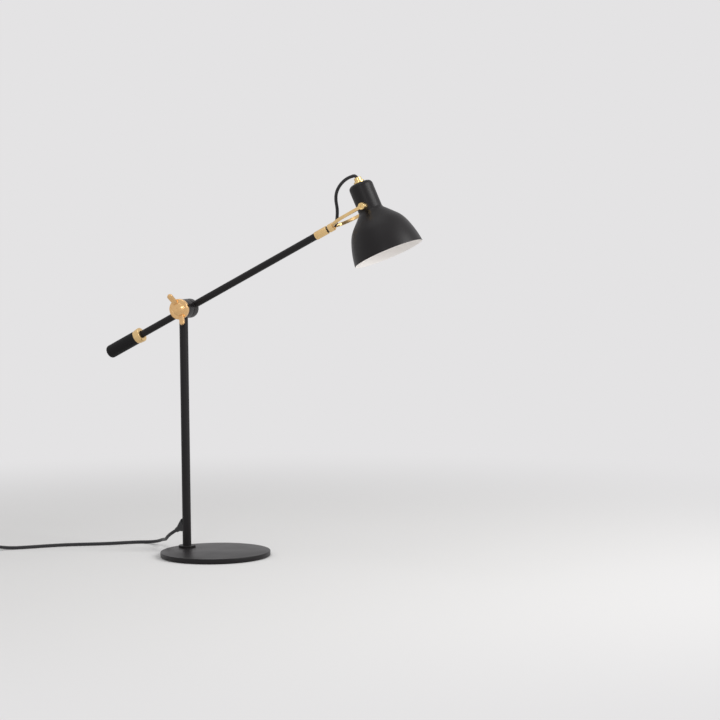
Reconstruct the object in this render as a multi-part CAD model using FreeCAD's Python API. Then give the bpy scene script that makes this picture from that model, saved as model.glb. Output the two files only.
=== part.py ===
import FreeCAD, Part

import math
import os

from FreeCAD import Vector

# Counterweight balance desk lamp.  Millimetres and degrees, +Z up.
# Origin: centre of the base's underside.  +X: from the hub towards the shade, level.
# +Y: along the hub's axis, away from the wing knob.

# ---------------------------------------------------------------- driving sizes
# Base and pole
BASE_DIAMETER = 170.0
BASE_THICKNESS = 7.0
BASE_EDGE_ROUND = 1.2
PAD_DIAMETER = 158.0
PAD_THICKNESS = 1.0
POLE_FROM_EDGE = 22.0        # pole axis to the edge of the base
HUB_TURN = 20.0              # the arm is turned this far from the base's centre line
POLE_DIAMETER = 13.5
POLE_WALL = 1.25
FOOT_COLLAR_DIAMETER = 26.5
FOOT_COLLAR_HEIGHT = 3.2
COLLAR_EDGE_ROUND = 0.8
HUB_HEIGHT = 381.0           # hub axis above the table
FOOT_PLUG_LENGTH = 18.0
BOLT_DIAMETER = 8.0
BOLT_HEAD_DIAMETER = 14.0
BOLT_HEAD_HEIGHT = 2.6
BOLT_LENGTH = 18.0
BOLT_WASHER_DIAMETER = 20.0
BOLT_WASHER_THICKNESS = 1.0
BOLT_SEAT_DEPTH = 4.0        # recess under the disc for the bolt's head and washer

# Strain relief on the back of the pole
RELIEF_HEIGHT = 41.0
RELIEF_REACH = 23.5          # pole axis to the tip
RELIEF_SLOPE = 27.0
RELIEF_ROOT_DIAMETER = 19.0
RELIEF_WIDTH = 11.6
RELIEF_STEP = 9.0            # length of the wide part
RELIEF_STEP_DIAMETER = 12.0
RELIEF_END_DIAMETER = 10.4
RELIEF_TIP_DIAMETER = 7.4
RELIEF_STEM_DIAMETER = 7.6
RELIEF_STEM_DEPTH = 3.6      # how far the stem reaches into the pole
RELIEF_STEM_ROOT = 2.0       # how far it reaches back into the grip

# Hub
HUB_DIAMETER = 30.0
POLE_BLOCK_NEAR = 10.8       # pole axis to the pole block's near face
POLE_BLOCK_FAR = 7.8         # pole axis to its far face
ARM_BLOCK_LENGTH = 15.0
HUB_WASHER_THICKNESS = 0.7
HUB_WASHER_DIAMETER = 27.0
HUB_EDGE = 0.7
HUB_SOCKET_DEPTH = 3.7       # how far the pole enters the hub
STUD_DIAMETER = 10.0
STUD_BORE = 6.0
STUD_WINDOW = 5.4            # side holes for the cable
STUD_THREAD_DIAMETER = 8.0
STUD_PAST_ARM = 3.0
SPIGOT_DIAMETER = 10.0
SPIGOT_BORE = 5.6
SPIGOT_IN_POLE = 14.0
SPIGOT_GROOVE_DEPTH = 0.8
SPIGOT_TOP_GAP = 1.0         # top of the spigot to the stud
HUB_SCREW_DROP = 8.6         # hub axis down to the set screw in the pole block
SET_SCREW_DIAMETER = 4.0
SET_SCREW_SOCKET = 2.0
SET_SCREW_SUNK = 0.6         # outer end below the hub's surface
SPRING_WASHER_DIAMETER = 18.0
SPRING_WASHER_THICKNESS = 0.6

# Wing knob
KNOB_DIAMETER = 32.0
KNOB_THICKNESS = 6.6
KNOB_DOME_DIAMETER = 20.8
KNOB_DOME_HEIGHT = 3.0
KNOB_DOME_SEAT = 1.0         # how far the dome is sunk in the knob's face
KNOB_EDGE_ROUND = 1.4
KNOB_BORE_DEPTH = 6.0
WING_ROOT_RADIUS = 9.0       # hub axis to the middle of the wing's root
WING_LENGTH = 20.5
WING_WIDTH = 8.5
WING_THICKNESS = 3.4
WING_LEAN = 36.0             # from the knob's face

# Arm, ferrule and swivel
ARM_ELEVATION = 27.1
ARM_DIAMETER = 11.0
ARM_WALL = 1.4
ARM_ROD_GAP = 6.2            # hub axis to the end of each rod inside the arm block
ARM_SOCKET_GAP = 6.0         # hub axis to the floor of each socket
ARM_SCREW_OUT = 10.0
CABLE_PAST_ARM = 1.0
FERRULE_START = 244.4
FERRULE_LENGTH = 21.5
FERRULE_DIAMETER = 12.8
FERRULE_GRIP = 12.0
FERRULE_EDGE = 0.5
FERRULE_GROOVE = 0.35
FERRULE_GROOVE_OUT = 3.0
FERRULE_GROOVE_WIDTH = 0.8
FERRULE_WALL = 3.4           # end wall that the fork's spindle turns in
FERRULE_CAVITY_DIAMETER = 10.5
SPINDLE_DIAMETER = 8.0
SPINDLE_NUT_DIAMETER = 9.9
SPINDLE_NUT_LENGTH = 3.0
SPINDLE_PAST_NUT = 0.8
SWIVEL_GAP = 2.5
SWIVEL_WASHER_DIAMETER = 10.2

# Counterweight
WEIGHT_FACE = 90.5           # hub axis to the brass collar's face
COLLAR_LENGTH = 11.6
COLLAR_DIAMETER = 23.2
WEIGHT_LENGTH = 55.5
WEIGHT_DIAMETER = 21.0
WEIGHT_END_ROUND = 6.0
WEIGHT_THREAD_DIAMETER = 8.0
WEIGHT_THREAD_LENGTH = 22.0
WEIGHT_DRILL_PAST = 1.0      # blind hole past the end of the rod
COLLAR_RECESS = 4.0          # the rod's full diameter enters the collar this far
COLLAR_CORNER = 1.3
COLLAR_WIDEST = 4.0          # from the collar's face to its widest ring
COLLAR_SWELL = 0.72          # how full the collar's side is halfway down

# Fork
FORK_ROOT_LENGTH = 9.6
FORK_REACH = 64.2            # crotch to pivot axis
PRONG_SPACING = 58.0         # between the middles of the two prongs
PRONG_THICKNESS = 3.0
PRONG_HEIGHT = 5.0
FORK_SHOULDER = 17.6         # arm axis to the corner of each shoulder
FORK_SHOULDER_OUT = 6.5
FORK_FLARE_OUT = 21.0        # crotch to the corner where a prong turns parallel
FORK_SHOULDER_BEND = 13.0
FORK_FLARE_BEND = 34.0
FORK_EDGE = 0.9
PRONG_ROOT = 2.0             # each prong starts this far inside the fork's root and off its axis
EYE_DIAMETER = 10.6
PIVOT_SCREW_DIAMETER = 4.0
PIVOT_HEAD_DIAMETER = 10.4
PIVOT_HEAD_HEIGHT = 2.6
PIVOT_HEAD_ROUND = 0.6
PIVOT_SOCKET = 3.6
PIVOT_SOCKET_DEPTH = 1.8
PIVOT_WASHER_THICKNESS = 0.4

# Shade, in a frame with its pivot axis at the origin and its neck pointing up
SHADE_TILT = 23.45
SHADE_WALL = 1.2
NECK_TOP = 37.6              # pivot axis up to the flat top
NECK_DIAMETER = 37.4
NECK_CORNER = 6.5
NECK_DROP = 4.4              # pivot axis down to the end of the straight neck
THROAT_BEND = 7.25
THROAT_SLOPE = 45.0
BELL_UPPER_DIAMETER = 70.8
BELL_UPPER_DROP = 24.5
BELL_SHOULDER_DIAMETER = 90.6
BELL_SHOULDER_DROP = 40.0
RIM_DIAMETER = 109.4
RIM_DROP = 77.5              # pivot axis down to the rim
BUSH_DIAMETER = 10.4
BUSH_STEM_DIAMETER = 7.0
BUSH_SADDLE = 3.0            # longest part of the barrel hollowed to fit the neck
BUSH_NUT_DIAMETER = 11.0
BUSH_NUT_THICKNESS = 2.4
PIVOT_SCREW_PAST = 1.0       # screw's end past the nut's face

# Cable gland and lampholder
GLAND_NUT_DIAMETER = 16.4
GLAND_NUT_HEIGHT = 3.5
GLAND_CAP_DIAMETER = 11.6
GLAND_CAP_HEIGHT = 5.7
GLAND_GRIP = 2.8             # thickness of the cap over the nipple
GLAND_EDGE = 0.8
NIPPLE_DIAMETER = 10.0
NIPPLE_BORE = 6.8
NIPPLE_LENGTH = 16.0
LOCK_NUT_DIAMETER = 15.0
LOCK_NUT_THICKNESS = 2.8
HOLDER_DIAMETER = 26.5
HOLDER_CAP_LENGTH = 15.0
HOLDER_WALL = 1.7
HOLDER_ROOF = 1.8
HOLDER_ROUND = 2.4
HOLDER_LENGTH = 46.0
HOLDER_OVERLAP = 9.0         # of the body inside the cap
LAMP_SCREW_DIAMETER = 13.8
LAMP_SCREW_LENGTH = 19.0
SHELL_WALL = 0.5
SHELL_LENGTH = 21.0
SHELL_INSET = 0.5            # from the holder's mouth to its shell and the lamp's cap
CONTACT_THICKNESS = 0.6
CONTACT_DIAMETER = 9.0
BULB_DIAMETER = 45.0
BULB_DROP = 66.0             # pivot axis down to the bulb's tip
BULB_NECK_DIAMETER = 20.0
BULB_GLASS_WALL = 1.0
BULB_PIP_DIAMETER = 4.8
BULB_PIP_HEIGHT = 1.6
BULB_CAP_TAPER = 3.0
BULB_SEAT_LENGTH = 2.5

# Cords
CORD_DIAMETER = 5.2
LEAD_DIAMETER = 5.0
INNER_CABLE_DIAMETER = 5.0

# Switch, plug and coil on the mains cord
SWITCH_LENGTH = 58.0
SWITCH_WIDTH = 25.0
SWITCH_BASE_HEIGHT = 8.0
SWITCH_COVER_HEIGHT = 8.0
SWITCH_CORNER = 5.0
SWITCH_WALL = 1.8
SWITCH_EDGE = 1.2
ROCKER_LENGTH = 20.0
ROCKER_WIDTH = 10.0
ROCKER_PROUD = 1.4
ROCKER_DEPTH = 6.6
ROCKER_PIN_DIAMETER = 3.0
ROCKER_PIN_DROP = 3.4        # top of the switch down to the rocker's pin
ROCKER_TILT = 7.0
ROCKER_LUG = 2.4
PLUG_WIDTH = 35.0
PLUG_THICKNESS = 13.6
PLUG_LENGTH = 34.0
PLUG_SHOULDER = 13.0
PLUG_LIP = 6.0
PLUG_FACE = 27.0
PLUG_EDGE = 2.2
PLUG_NOSE = 12.0
PLUG_TAIL_DIAMETER = 9.0
PLUG_PIN_DIAMETER = 4.0
PLUG_PIN_LENGTH = 19.0
PLUG_PIN_SPACING = 19.0
COIL_LAYERS = 4
COIL_LOOPS = 2               # in each layer
COIL_DIAMETER = 70.0         # over the outer loop
COIL_GAP = 0.55              # between neighbouring loops
TIE_WIDTH = 12.0
TIE_THICKNESS = 1.2

# Clearances
FIT = 0.05                   # radial play of a turning or threaded fit
SEAT = 0.05                  # play between flat faces
SLACK = 0.3                  # a loose piece beside its neighbour

# ---------------------------------------------------------------- derived places
POLE_INSET = BASE_DIAMETER / 2 - POLE_FROM_EDGE
SPIGOT_GROOVE_WIDTH = SET_SCREW_DIAMETER + 2 * SLACK
BASE_TOP = PAD_THICKNESS + BASE_THICKNESS
POLE_RADIUS = POLE_DIAMETER / 2
POLE_INNER = POLE_RADIUS - POLE_WALL
HUB_RADIUS = HUB_DIAMETER / 2
POLE_X = -POLE_INSET * math.cos(math.radians(HUB_TURN))
POLE_Y = POLE_INSET * math.sin(math.radians(HUB_TURN))
ARM_BLOCK_NEAR = POLE_BLOCK_FAR + HUB_WASHER_THICKNESS + 2 * SEAT
ARM_OUT = ARM_BLOCK_NEAR + ARM_BLOCK_LENGTH / 2
POLE_TOP = HUB_HEIGHT - HUB_RADIUS + HUB_SOCKET_DEPTH
CORD_RADIUS = CORD_DIAMETER / 2
LEAD_RADIUS = LEAD_DIAMETER / 2
ARM_RADIUS = ARM_DIAMETER / 2
FERRULE_END = FERRULE_START + FERRULE_LENGTH
FORK_START = FERRULE_END + SWIVEL_GAP
FORK_CROTCH = FORK_START + FORK_ROOT_LENGTH
PIVOT_OUT = FORK_CROTCH + FORK_REACH
HUB = Vector(POLE_X, POLE_Y, HUB_HEIGHT)
ARM_ORIGIN = HUB + Vector(0, ARM_OUT, 0)
ARM_DIRECTION = Vector(math.cos(math.radians(ARM_ELEVATION)), 0, math.sin(math.radians(ARM_ELEVATION)))
PIVOT = ARM_ORIGIN + ARM_DIRECTION * PIVOT_OUT
X = Vector(1, 0, 0)
Y = Vector(0, 1, 0)
Z = Vector(0, 0, 1)
ORIGIN = Vector(0, 0, 0)


# ---------------------------------------------------------------- building blocks
def rod(radius, start, end):
    """A solid cylinder from one point to another."""
    return Part.makeCylinder(radius, (end - start).Length, start, end - start)


def tube(outer, inner, start, end):
    """A ring or a tube from one point to another."""
    return rod(outer, start, end).cut(rod(inner, start, end))


def rounded_rod(radius, start, end, edge):
    """A cylinder with both end edges rounded."""
    body = rod(radius, start, end)
    return body.makeFillet(edge, [e for e in body.Edges if e.Closed])


def revolve(edges, axis=Z):
    """A solid turned from a closed outline about an axis through the origin."""
    face = Part.Face(Part.Wire(edges))
    return face.revolve(ORIGIN, axis, 360)


def line(a, b):
    return Part.makeLine(a, b)


def arc(a, middle, b):
    return Part.Arc(a, middle, b).toShape()


def box(low, high):
    size = high - low
    return Part.makeBox(size.x, size.y, size.z, low)


def on_arm(shape):
    """From the arm's frame, hub axis at the origin and arm along +X, to the lamp's."""
    placed = shape.copy()
    placed.rotate(ORIGIN, Y, -ARM_ELEVATION)
    placed.translate(ARM_ORIGIN)
    return placed


def on_head(shape):
    """From the shade's frame, pivot axis at the origin and neck up, to the lamp's."""
    placed = shape.copy()
    placed.rotate(ORIGIN, Y, -SHADE_TILT)
    placed.translate(PIVOT)
    return placed


def at_pole(shape):
    """From a frame on the pole's axis, with the base's centre along +X, to the lamp's."""
    placed = shape.copy()
    placed.rotate(ORIGIN, Z, -HUB_TURN)
    placed.translate(Vector(POLE_X, POLE_Y, 0))
    return placed


def socket_screw(radius, socket, start, end, depth):
    """A headless screw with a hexagon socket in its start."""
    along = (end - start).normalize()
    recess = hexagon(socket, start, along, depth)
    return rod(radius, start, end).cut(recess)


def hexagon(across, start, along, depth):
    """A hexagonal prism, across flats, from a point along a direction."""
    side = along.cross(Y if abs(along.y) < 0.9 else X).normalize()
    other = along.cross(side)
    corner = across / math.sqrt(3)
    points = []
    for step in range(6):
        turn = math.radians(60 * step)
        points.append(start + side * (corner * math.cos(turn)) + other * (corner * math.sin(turn)))
    face = Part.Face(Part.makePolygon(points + points[:1]))
    return face.extrude(along * depth)


# ---------------------------------------------------------------- cords
def cord_path(points, name):
    """Straight runs joined by tangent arcs as large as the two runs allow."""
    edges = []
    at = points[0]
    radii = []
    for before, corner, after in zip(points, points[1:], points[2:]):
        back = before - corner
        ahead = after - corner
        turn = math.pi - back.getAngle(ahead)
        radius = 0.45 * min(back.Length, ahead.Length) / math.tan(turn / 2)
        radii.append(radius)
        reach = radius * math.tan(turn / 2)
        start = corner + back.normalize() * reach
        end = corner + ahead.normalize() * reach
        inward = (back + ahead).normalize()
        middle = corner + inward * (radius / math.cos(turn / 2) - radius)
        edges.append(line(at, start))
        edges.append(arc(start, middle, end))
        at = end
    edges.append(line(at, points[-1]))
    wire = Part.Wire(edges)
    print(name, "length", round(wire.Length, 1), "radii", [round(r, 1) for r in radii])
    return wire


def swept(wire, radius, name):
    """A round cord along a path; its volume is compared with section times length."""
    start = wire.Edges[0].valueAt(wire.Edges[0].FirstParameter)
    along = wire.Edges[0].tangentAt(wire.Edges[0].FirstParameter)
    ring = Part.Wire([Part.makeCircle(radius, start, along)])
    solid = wire.makePipeShell([ring], True, False)
    expected = math.pi * radius ** 2 * wire.Length
    print(name, "volume over section times length", round(solid.Volume / expected, 4))
    return solid


def cord(points, radius, name):
    return swept(cord_path(points, name), radius, name)


# ---------------------------------------------------------------- base and pole
def base_disc():
    """Heavy steel disc, with a sunk seat for the pole's bolt underneath."""
    low = Vector(0, 0, PAD_THICKNESS)
    high = Vector(0, 0, BASE_TOP)
    disc = rod(BASE_DIAMETER / 2, low, high)
    top = [e for e in disc.Edges if e.Closed and e.BoundBox.ZMin > BASE_TOP - 0.01]
    disc = disc.makeFillet(BASE_EDGE_ROUND, top)
    foot = Vector(POLE_X, POLE_Y, PAD_THICKNESS)
    seat = foot + Z * BOLT_SEAT_DEPTH
    disc = disc.cut(rod(BOLT_WASHER_DIAMETER / 2 + SLACK, foot, seat))
    return disc.cut(rod(BOLT_DIAMETER / 2 + FIT, seat, seat + Z * BASE_THICKNESS))


def base_pad():
    """Felt pad under the disc."""
    return rod(PAD_DIAMETER / 2, ORIGIN, Vector(0, 0, PAD_THICKNESS))


def base_washer():
    top = PAD_THICKNESS + BOLT_SEAT_DEPTH
    return at_pole(tube(BOLT_WASHER_DIAMETER / 2, BOLT_DIAMETER / 2 + FIT,
                        Z * (top - BOLT_WASHER_THICKNESS), Z * top))


def base_bolt():
    """Hexagon bolt that comes up through the disc into the foot plug."""
    seat = PAD_THICKNESS + BOLT_SEAT_DEPTH - BOLT_WASHER_THICKNESS
    head = hexagon(BOLT_HEAD_DIAMETER, Z * (seat - BOLT_HEAD_HEIGHT), Z, BOLT_HEAD_HEIGHT)
    shank = rod(BOLT_DIAMETER / 2, Z * seat, Z * (seat + BOLT_LENGTH))
    return at_pole(head.fuse(shank).removeSplitter())


def foot_plug():
    """Threaded plug pressed into the bottom of the pole."""
    return at_pole(tube(POLE_INNER, BOLT_DIAMETER / 2, Z * BASE_TOP, Z * (BASE_TOP + FOOT_PLUG_LENGTH)))


def foot_collar():
    """Low ring round the foot of the pole."""
    top = BASE_TOP + FOOT_COLLAR_HEIGHT
    ring = rod(FOOT_COLLAR_DIAMETER / 2, Z * BASE_TOP, Z * top)
    upper = [e for e in ring.Edges if e.Closed and e.BoundBox.ZMin > top - 0.01]
    ring = ring.makeFillet(COLLAR_EDGE_ROUND, upper)
    return at_pole(ring.cut(rod(POLE_RADIUS + FIT, Z * BASE_TOP, Z * top)))


def relief_stem():
    """The stem's place: from inside the pole out through its back."""
    height = Z * RELIEF_HEIGHT
    return X * (RELIEF_STEM_DEPTH - POLE_INNER) + height, X * (-POLE_RADIUS - RELIEF_STEM_ROOT) + height


def pole_tube():
    inner, outer = relief_stem()
    pole = tube(POLE_RADIUS, POLE_INNER, Z * BASE_TOP, Z * POLE_TOP)
    hole = rod(RELIEF_STEM_DIAMETER / 2 + FIT, inner, outer - X)
    return at_pole(pole.cut(hole))


def relief_axis():
    """Root, tip and direction of the strain relief, in the pole's frame."""
    slope = math.radians(RELIEF_SLOPE)
    along = Vector(-math.cos(slope), 0, -math.sin(slope))
    root = Vector(-POLE_RADIUS, 0, RELIEF_HEIGHT)
    tip = root + along * ((RELIEF_REACH - POLE_RADIUS) / math.cos(slope))
    return root, tip, along


def strain_relief():
    """Moulded grip on the back of the pole, where the mains cord comes out."""
    root, tip, along = relief_axis()
    step = root + along * RELIEF_STEP
    start = root - along * POLE_RADIUS
    wide = cone(start, step, grown(RELIEF_ROOT_DIAMETER, RELIEF_STEP_DIAMETER), RELIEF_STEP_DIAMETER / 2)
    half = RELIEF_WIDTH / 2
    slab = box(Vector(-RELIEF_REACH, -half, 0), Vector(0, half, 2 * RELIEF_HEIGHT))
    narrow = cone(step - along, tip, RELIEF_END_DIAMETER / 2, RELIEF_TIP_DIAMETER / 2)
    body = wide.common(slab).fuse(narrow)
    body = body.cut(rod(POLE_RADIUS, ORIGIN, Z * HUB_HEIGHT))
    inner, outer = relief_stem()
    stem = rod(RELIEF_STEM_DIAMETER / 2, inner, outer)
    stem = stem.cut(rod(INNER_CABLE_DIAMETER / 2, ORIGIN, Z * HUB_HEIGHT))
    return at_pole(body.fuse(stem).removeSplitter())


def grown(root_diameter, step_diameter):
    """Radius of the wide cone where it starts inside the pole."""
    rate = (root_diameter - step_diameter) / 2 / RELIEF_STEP
    return root_diameter / 2 + rate * POLE_RADIUS


def cone(start, end, first, last):
    return Part.makeCone(first, last, (end - start).Length, start, end - start)


def pole_spigot():
    """Turned pin in the top of the pole, with a groove that keeps the hub on."""
    shoulder = POLE_TOP
    top = HUB_HEIGHT - STUD_DIAMETER / 2 - SPIGOT_TOP_GAP
    pin = rod(POLE_INNER, Z * (shoulder - SPIGOT_IN_POLE), Z * shoulder)
    pin = pin.fuse(rod(SPIGOT_DIAMETER / 2, Z * shoulder, Z * top))
    pin = pin.cut(rod(SPIGOT_BORE / 2, Z * (shoulder - SPIGOT_IN_POLE), Z * top))
    middle = HUB_HEIGHT - HUB_SCREW_DROP
    low = Z * (middle - SPIGOT_GROOVE_WIDTH / 2)
    high = Z * (middle + SPIGOT_GROOVE_WIDTH / 2)
    groove = tube(SPIGOT_DIAMETER, SPIGOT_DIAMETER / 2 - SPIGOT_GROOVE_DEPTH, low, high)
    return at_pole(pin.cut(groove).removeSplitter())


def pole_cable():
    """Cable up the middle of the pole, from beside the grip's stem to the hub."""
    low = RELIEF_HEIGHT - INNER_CABLE_DIAMETER
    high = HUB_HEIGHT - STUD_DIAMETER / 2 - SLACK
    return at_pole(rod(INNER_CABLE_DIAMETER / 2, Z * low, Z * high))


# ---------------------------------------------------------------- hub
def at_hub(shape):
    """From the hub's frame, hub axis along Y through the pole's axis, to the lamp's."""
    placed = shape.copy()
    placed.translate(HUB)
    return placed


def pole_block():
    """The near half of the hub, which turns on the pole's spigot."""
    near = Vector(0, -POLE_BLOCK_NEAR, 0)
    far = Vector(0, POLE_BLOCK_FAR, 0)
    block = rounded_rod(HUB_RADIUS, near, far, HUB_EDGE)
    block = block.cut(rod(STUD_DIAMETER / 2 + FIT, near, far))
    floor = POLE_TOP + SEAT - HUB_HEIGHT
    block = block.cut(rod(POLE_RADIUS + FIT, Z * -HUB_DIAMETER, Z * floor))
    block = block.cut(rod(SPIGOT_DIAMETER / 2 + FIT, Z * -HUB_DIAMETER, ORIGIN))
    start, end = hub_screw_ends()
    return at_hub(block.cut(rod(SET_SCREW_DIAMETER / 2, start - X * HUB_RADIUS, end)))


def hub_screw_ends():
    """Outer and inner end of the set screw that runs in the spigot's groove."""
    outer = math.sqrt(HUB_RADIUS ** 2 - HUB_SCREW_DROP ** 2) - SET_SCREW_SUNK
    inner = SPIGOT_DIAMETER / 2 - SPIGOT_GROOVE_DEPTH + SLACK
    return Vector(-outer, 0, -HUB_SCREW_DROP), Vector(-inner, 0, -HUB_SCREW_DROP)


def hub_set_screw():
    start, end = hub_screw_ends()
    return at_hub(socket_screw(SET_SCREW_DIAMETER / 2, SET_SCREW_SOCKET, start, end, SET_SCREW_SOCKET))


def friction_washer():
    """Fibre washer between the two halves of the hub."""
    near = Vector(0, POLE_BLOCK_FAR + SEAT, 0)
    far = near + Y * HUB_WASHER_THICKNESS
    return at_hub(tube(HUB_WASHER_DIAMETER / 2, STUD_DIAMETER / 2 + FIT, near, far))


def arm_block():
    """The far half of the hub, which carries the arm and the counterweight's rod."""
    near = Vector(0, -ARM_BLOCK_LENGTH / 2, 0)
    far = Vector(0, ARM_BLOCK_LENGTH / 2, 0)
    block = rounded_rod(HUB_RADIUS, near, far, HUB_EDGE)
    block = block.cut(rod(STUD_DIAMETER / 2, near, Y * STUD_PAST_ARM))
    block = block.cut(rod(ARM_RADIUS, X * ARM_SOCKET_GAP, X * HUB_DIAMETER))
    block = block.cut(rod(ARM_RADIUS, X * -ARM_SOCKET_GAP, X * -HUB_DIAMETER))
    block = block.cut(rod(ARM_RADIUS - ARM_WALL, ORIGIN, X * HUB_RADIUS))
    for side in (-1, 1):
        start, end = arm_screw_ends(side)
        block = block.cut(rod(SET_SCREW_DIAMETER / 2, start + Y * HUB_RADIUS, end))
    return on_arm(block)


def arm_screw_ends(side):
    """Outer and inner end of a set screw that holds the arm or the weight's rod."""
    across = side * ARM_SCREW_OUT
    return Vector(across, ARM_BLOCK_LENGTH / 2 - SET_SCREW_SUNK, 0), Vector(across, ARM_RADIUS, 0)


def arm_set_screws():
    screws = []
    for side in (-1, 1):
        start, end = arm_screw_ends(side)
        grip = socket_screw(SET_SCREW_DIAMETER / 2, SET_SCREW_SOCKET, start, end, SET_SCREW_SOCKET / 2)
        screws.append(grip.cut(rod(ARM_RADIUS, X * -HUB_DIAMETER, X * HUB_DIAMETER)))
    return on_arm(Part.Compound(screws))


def pivot_stud():
    """Hollow stud fixed in the arm block; the pole block turns on it, the knob clamps it."""
    far = ARM_OUT + STUD_PAST_ARM
    near = -POLE_BLOCK_NEAR + SEAT
    end = -POLE_BLOCK_NEAR - SPRING_WASHER_THICKNESS - 2 * SEAT - KNOB_BORE_DEPTH + SLACK
    stud = rod(STUD_DIAMETER / 2, Y * near, Y * far)
    stud = stud.fuse(rod(STUD_THREAD_DIAMETER / 2, Y * end, Y * near))
    stud = stud.cut(rod(STUD_BORE / 2, Y * -POLE_BLOCK_FAR, Y * far))
    window = rod(STUD_WINDOW / 2, Y * ARM_OUT, Y * ARM_OUT + X * HUB_RADIUS)
    slot = rod(STUD_WINDOW / 2, ORIGIN, Z * -HUB_RADIUS)
    window.rotate(Y * ARM_OUT, Y, -ARM_ELEVATION)
    return at_hub(stud.cut(window).cut(slot).removeSplitter())


def spring_washer():
    """Dished washer under the wing knob."""
    near = Y * (-POLE_BLOCK_NEAR - SEAT - SPRING_WASHER_THICKNESS)
    far = Y * (-POLE_BLOCK_NEAR - SEAT)
    return at_hub(tube(SPRING_WASHER_DIAMETER / 2, STUD_THREAD_DIAMETER / 2 + FIT, near, far))


def wing_knob():
    """Turned knob with a domed face and two wings that lean outwards."""
    back = -POLE_BLOCK_NEAR - SPRING_WASHER_THICKNESS - 2 * SEAT
    front = back - KNOB_THICKNESS
    disc = rounded_rod(KNOB_DIAMETER / 2, Y * back, Y * front, KNOB_EDGE_ROUND)
    half = KNOB_DOME_DIAMETER / 2
    ball_radius = (half ** 2 + KNOB_DOME_HEIGHT ** 2) / (2 * KNOB_DOME_HEIGHT)
    ball = Part.makeSphere(ball_radius, Y * (front - KNOB_DOME_HEIGHT + ball_radius))
    dome = ball.common(rod(half, Y * (front + KNOB_DOME_SEAT), Y * (front - 2 * KNOB_DOME_HEIGHT)))
    knob = disc.fuse(dome)
    for turn in (0, 180):
        knob = knob.fuse(wing(front, turn))
    knob = knob.removeSplitter()
    bore = rod(STUD_THREAD_DIAMETER / 2 + FIT, Y * back, Y * (back - KNOB_BORE_DEPTH))
    knob = knob.cut(bore)
    knob.rotate(ORIGIN, Y, -ARM_ELEVATION)
    return at_hub(knob)


def wing(front, turn):
    """One flat wing with a round end, from the knob's face outwards."""
    half = WING_WIDTH / 2
    straight = WING_LENGTH - half
    low = Vector(-half, -WING_THICKNESS / 2, 0)
    plate = box(low, Vector(half, WING_THICKNESS / 2, straight))
    tip = rod(half, Vector(0, -WING_THICKNESS / 2, straight), Vector(0, WING_THICKNESS / 2, straight))
    plate = plate.fuse(tip).removeSplitter()
    plate.rotate(ORIGIN, X, WING_LEAN)
    plate.translate(Vector(0, front + WING_THICKNESS / 2, WING_ROOT_RADIUS))
    plate.rotate(ORIGIN, Y, turn)
    return plate


# ---------------------------------------------------------------- arm and counterweight
def arm_tube():
    start = X * ARM_ROD_GAP
    end = X * (FERRULE_START + FERRULE_GRIP)
    return on_arm(tube(ARM_RADIUS, ARM_RADIUS - ARM_WALL, start, end))


def arm_cable():
    """Cable from the stud's bore, round the corner and out along the arm."""
    radius = INNER_CABLE_DIAMETER / 2
    end = X * (FERRULE_START + FERRULE_GRIP + CABLE_PAST_ARM)
    cable = rod(radius, Y * -ARM_OUT, ORIGIN).fuse(rod(radius, ORIGIN, end))
    return on_arm(cable.fuse(Part.makeSphere(radius)).removeSplitter())


def weight_rod():
    """Solid rod from the hub to the counterweight, with a threaded end."""
    shoulder = -WEIGHT_FACE - COLLAR_RECESS
    end = -WEIGHT_FACE - COLLAR_LENGTH - WEIGHT_THREAD_LENGTH
    body = rod(ARM_RADIUS, X * shoulder, X * -ARM_ROD_GAP)
    return on_arm(body.fuse(rod(WEIGHT_THREAD_DIAMETER / 2, X * end, X * shoulder)).removeSplitter())


def weight_collar():
    """Brass collar whose rounded flange faces the arm."""
    face = -WEIGHT_FACE
    back = face - COLLAR_LENGTH
    rim = COLLAR_DIAMETER / 2
    foot = WEIGHT_DIAMETER / 2
    bend = COLLAR_CORNER
    widest = face - COLLAR_WIDEST
    a = Vector(back, 0, 0)
    b = Vector(back, 0, foot)
    c = Vector(widest, 0, rim)
    d = Vector(face - bend, 0, rim)
    e = Vector(face, 0, rim - bend)
    f = Vector(face, 0, 0)
    swell = Vector((back + widest) / 2, 0, foot + (rim - foot) * COLLAR_SWELL)
    round_off = d + Vector(bend * math.sin(math.pi / 4), 0, -bend * (1 - math.cos(math.pi / 4)))
    outline = [line(a, b), arc(b, swell, c), line(c, d), arc(d, round_off, e), line(e, f), line(f, a)]
    ring = revolve(outline, X)
    ring = ring.cut(rod(ARM_RADIUS, X * (face - COLLAR_RECESS), X * face))
    return on_arm(ring.cut(rod(WEIGHT_THREAD_DIAMETER / 2, X * back, X * face)))


def counterweight():
    """Steel cylinder with a well rounded free end and a blind thread."""
    start = -WEIGHT_FACE - COLLAR_LENGTH
    end = start - WEIGHT_LENGTH
    body = rod(WEIGHT_DIAMETER / 2, X * start, X * end)
    outer = [e for e in body.Edges if e.Closed and e.BoundBox.XMin < end + 0.01]
    body = body.makeFillet(WEIGHT_END_ROUND, outer)
    blind = X * (start - WEIGHT_THREAD_LENGTH - WEIGHT_DRILL_PAST)
    return on_arm(body.cut(rod(WEIGHT_THREAD_DIAMETER / 2, blind, X * start)))


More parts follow.
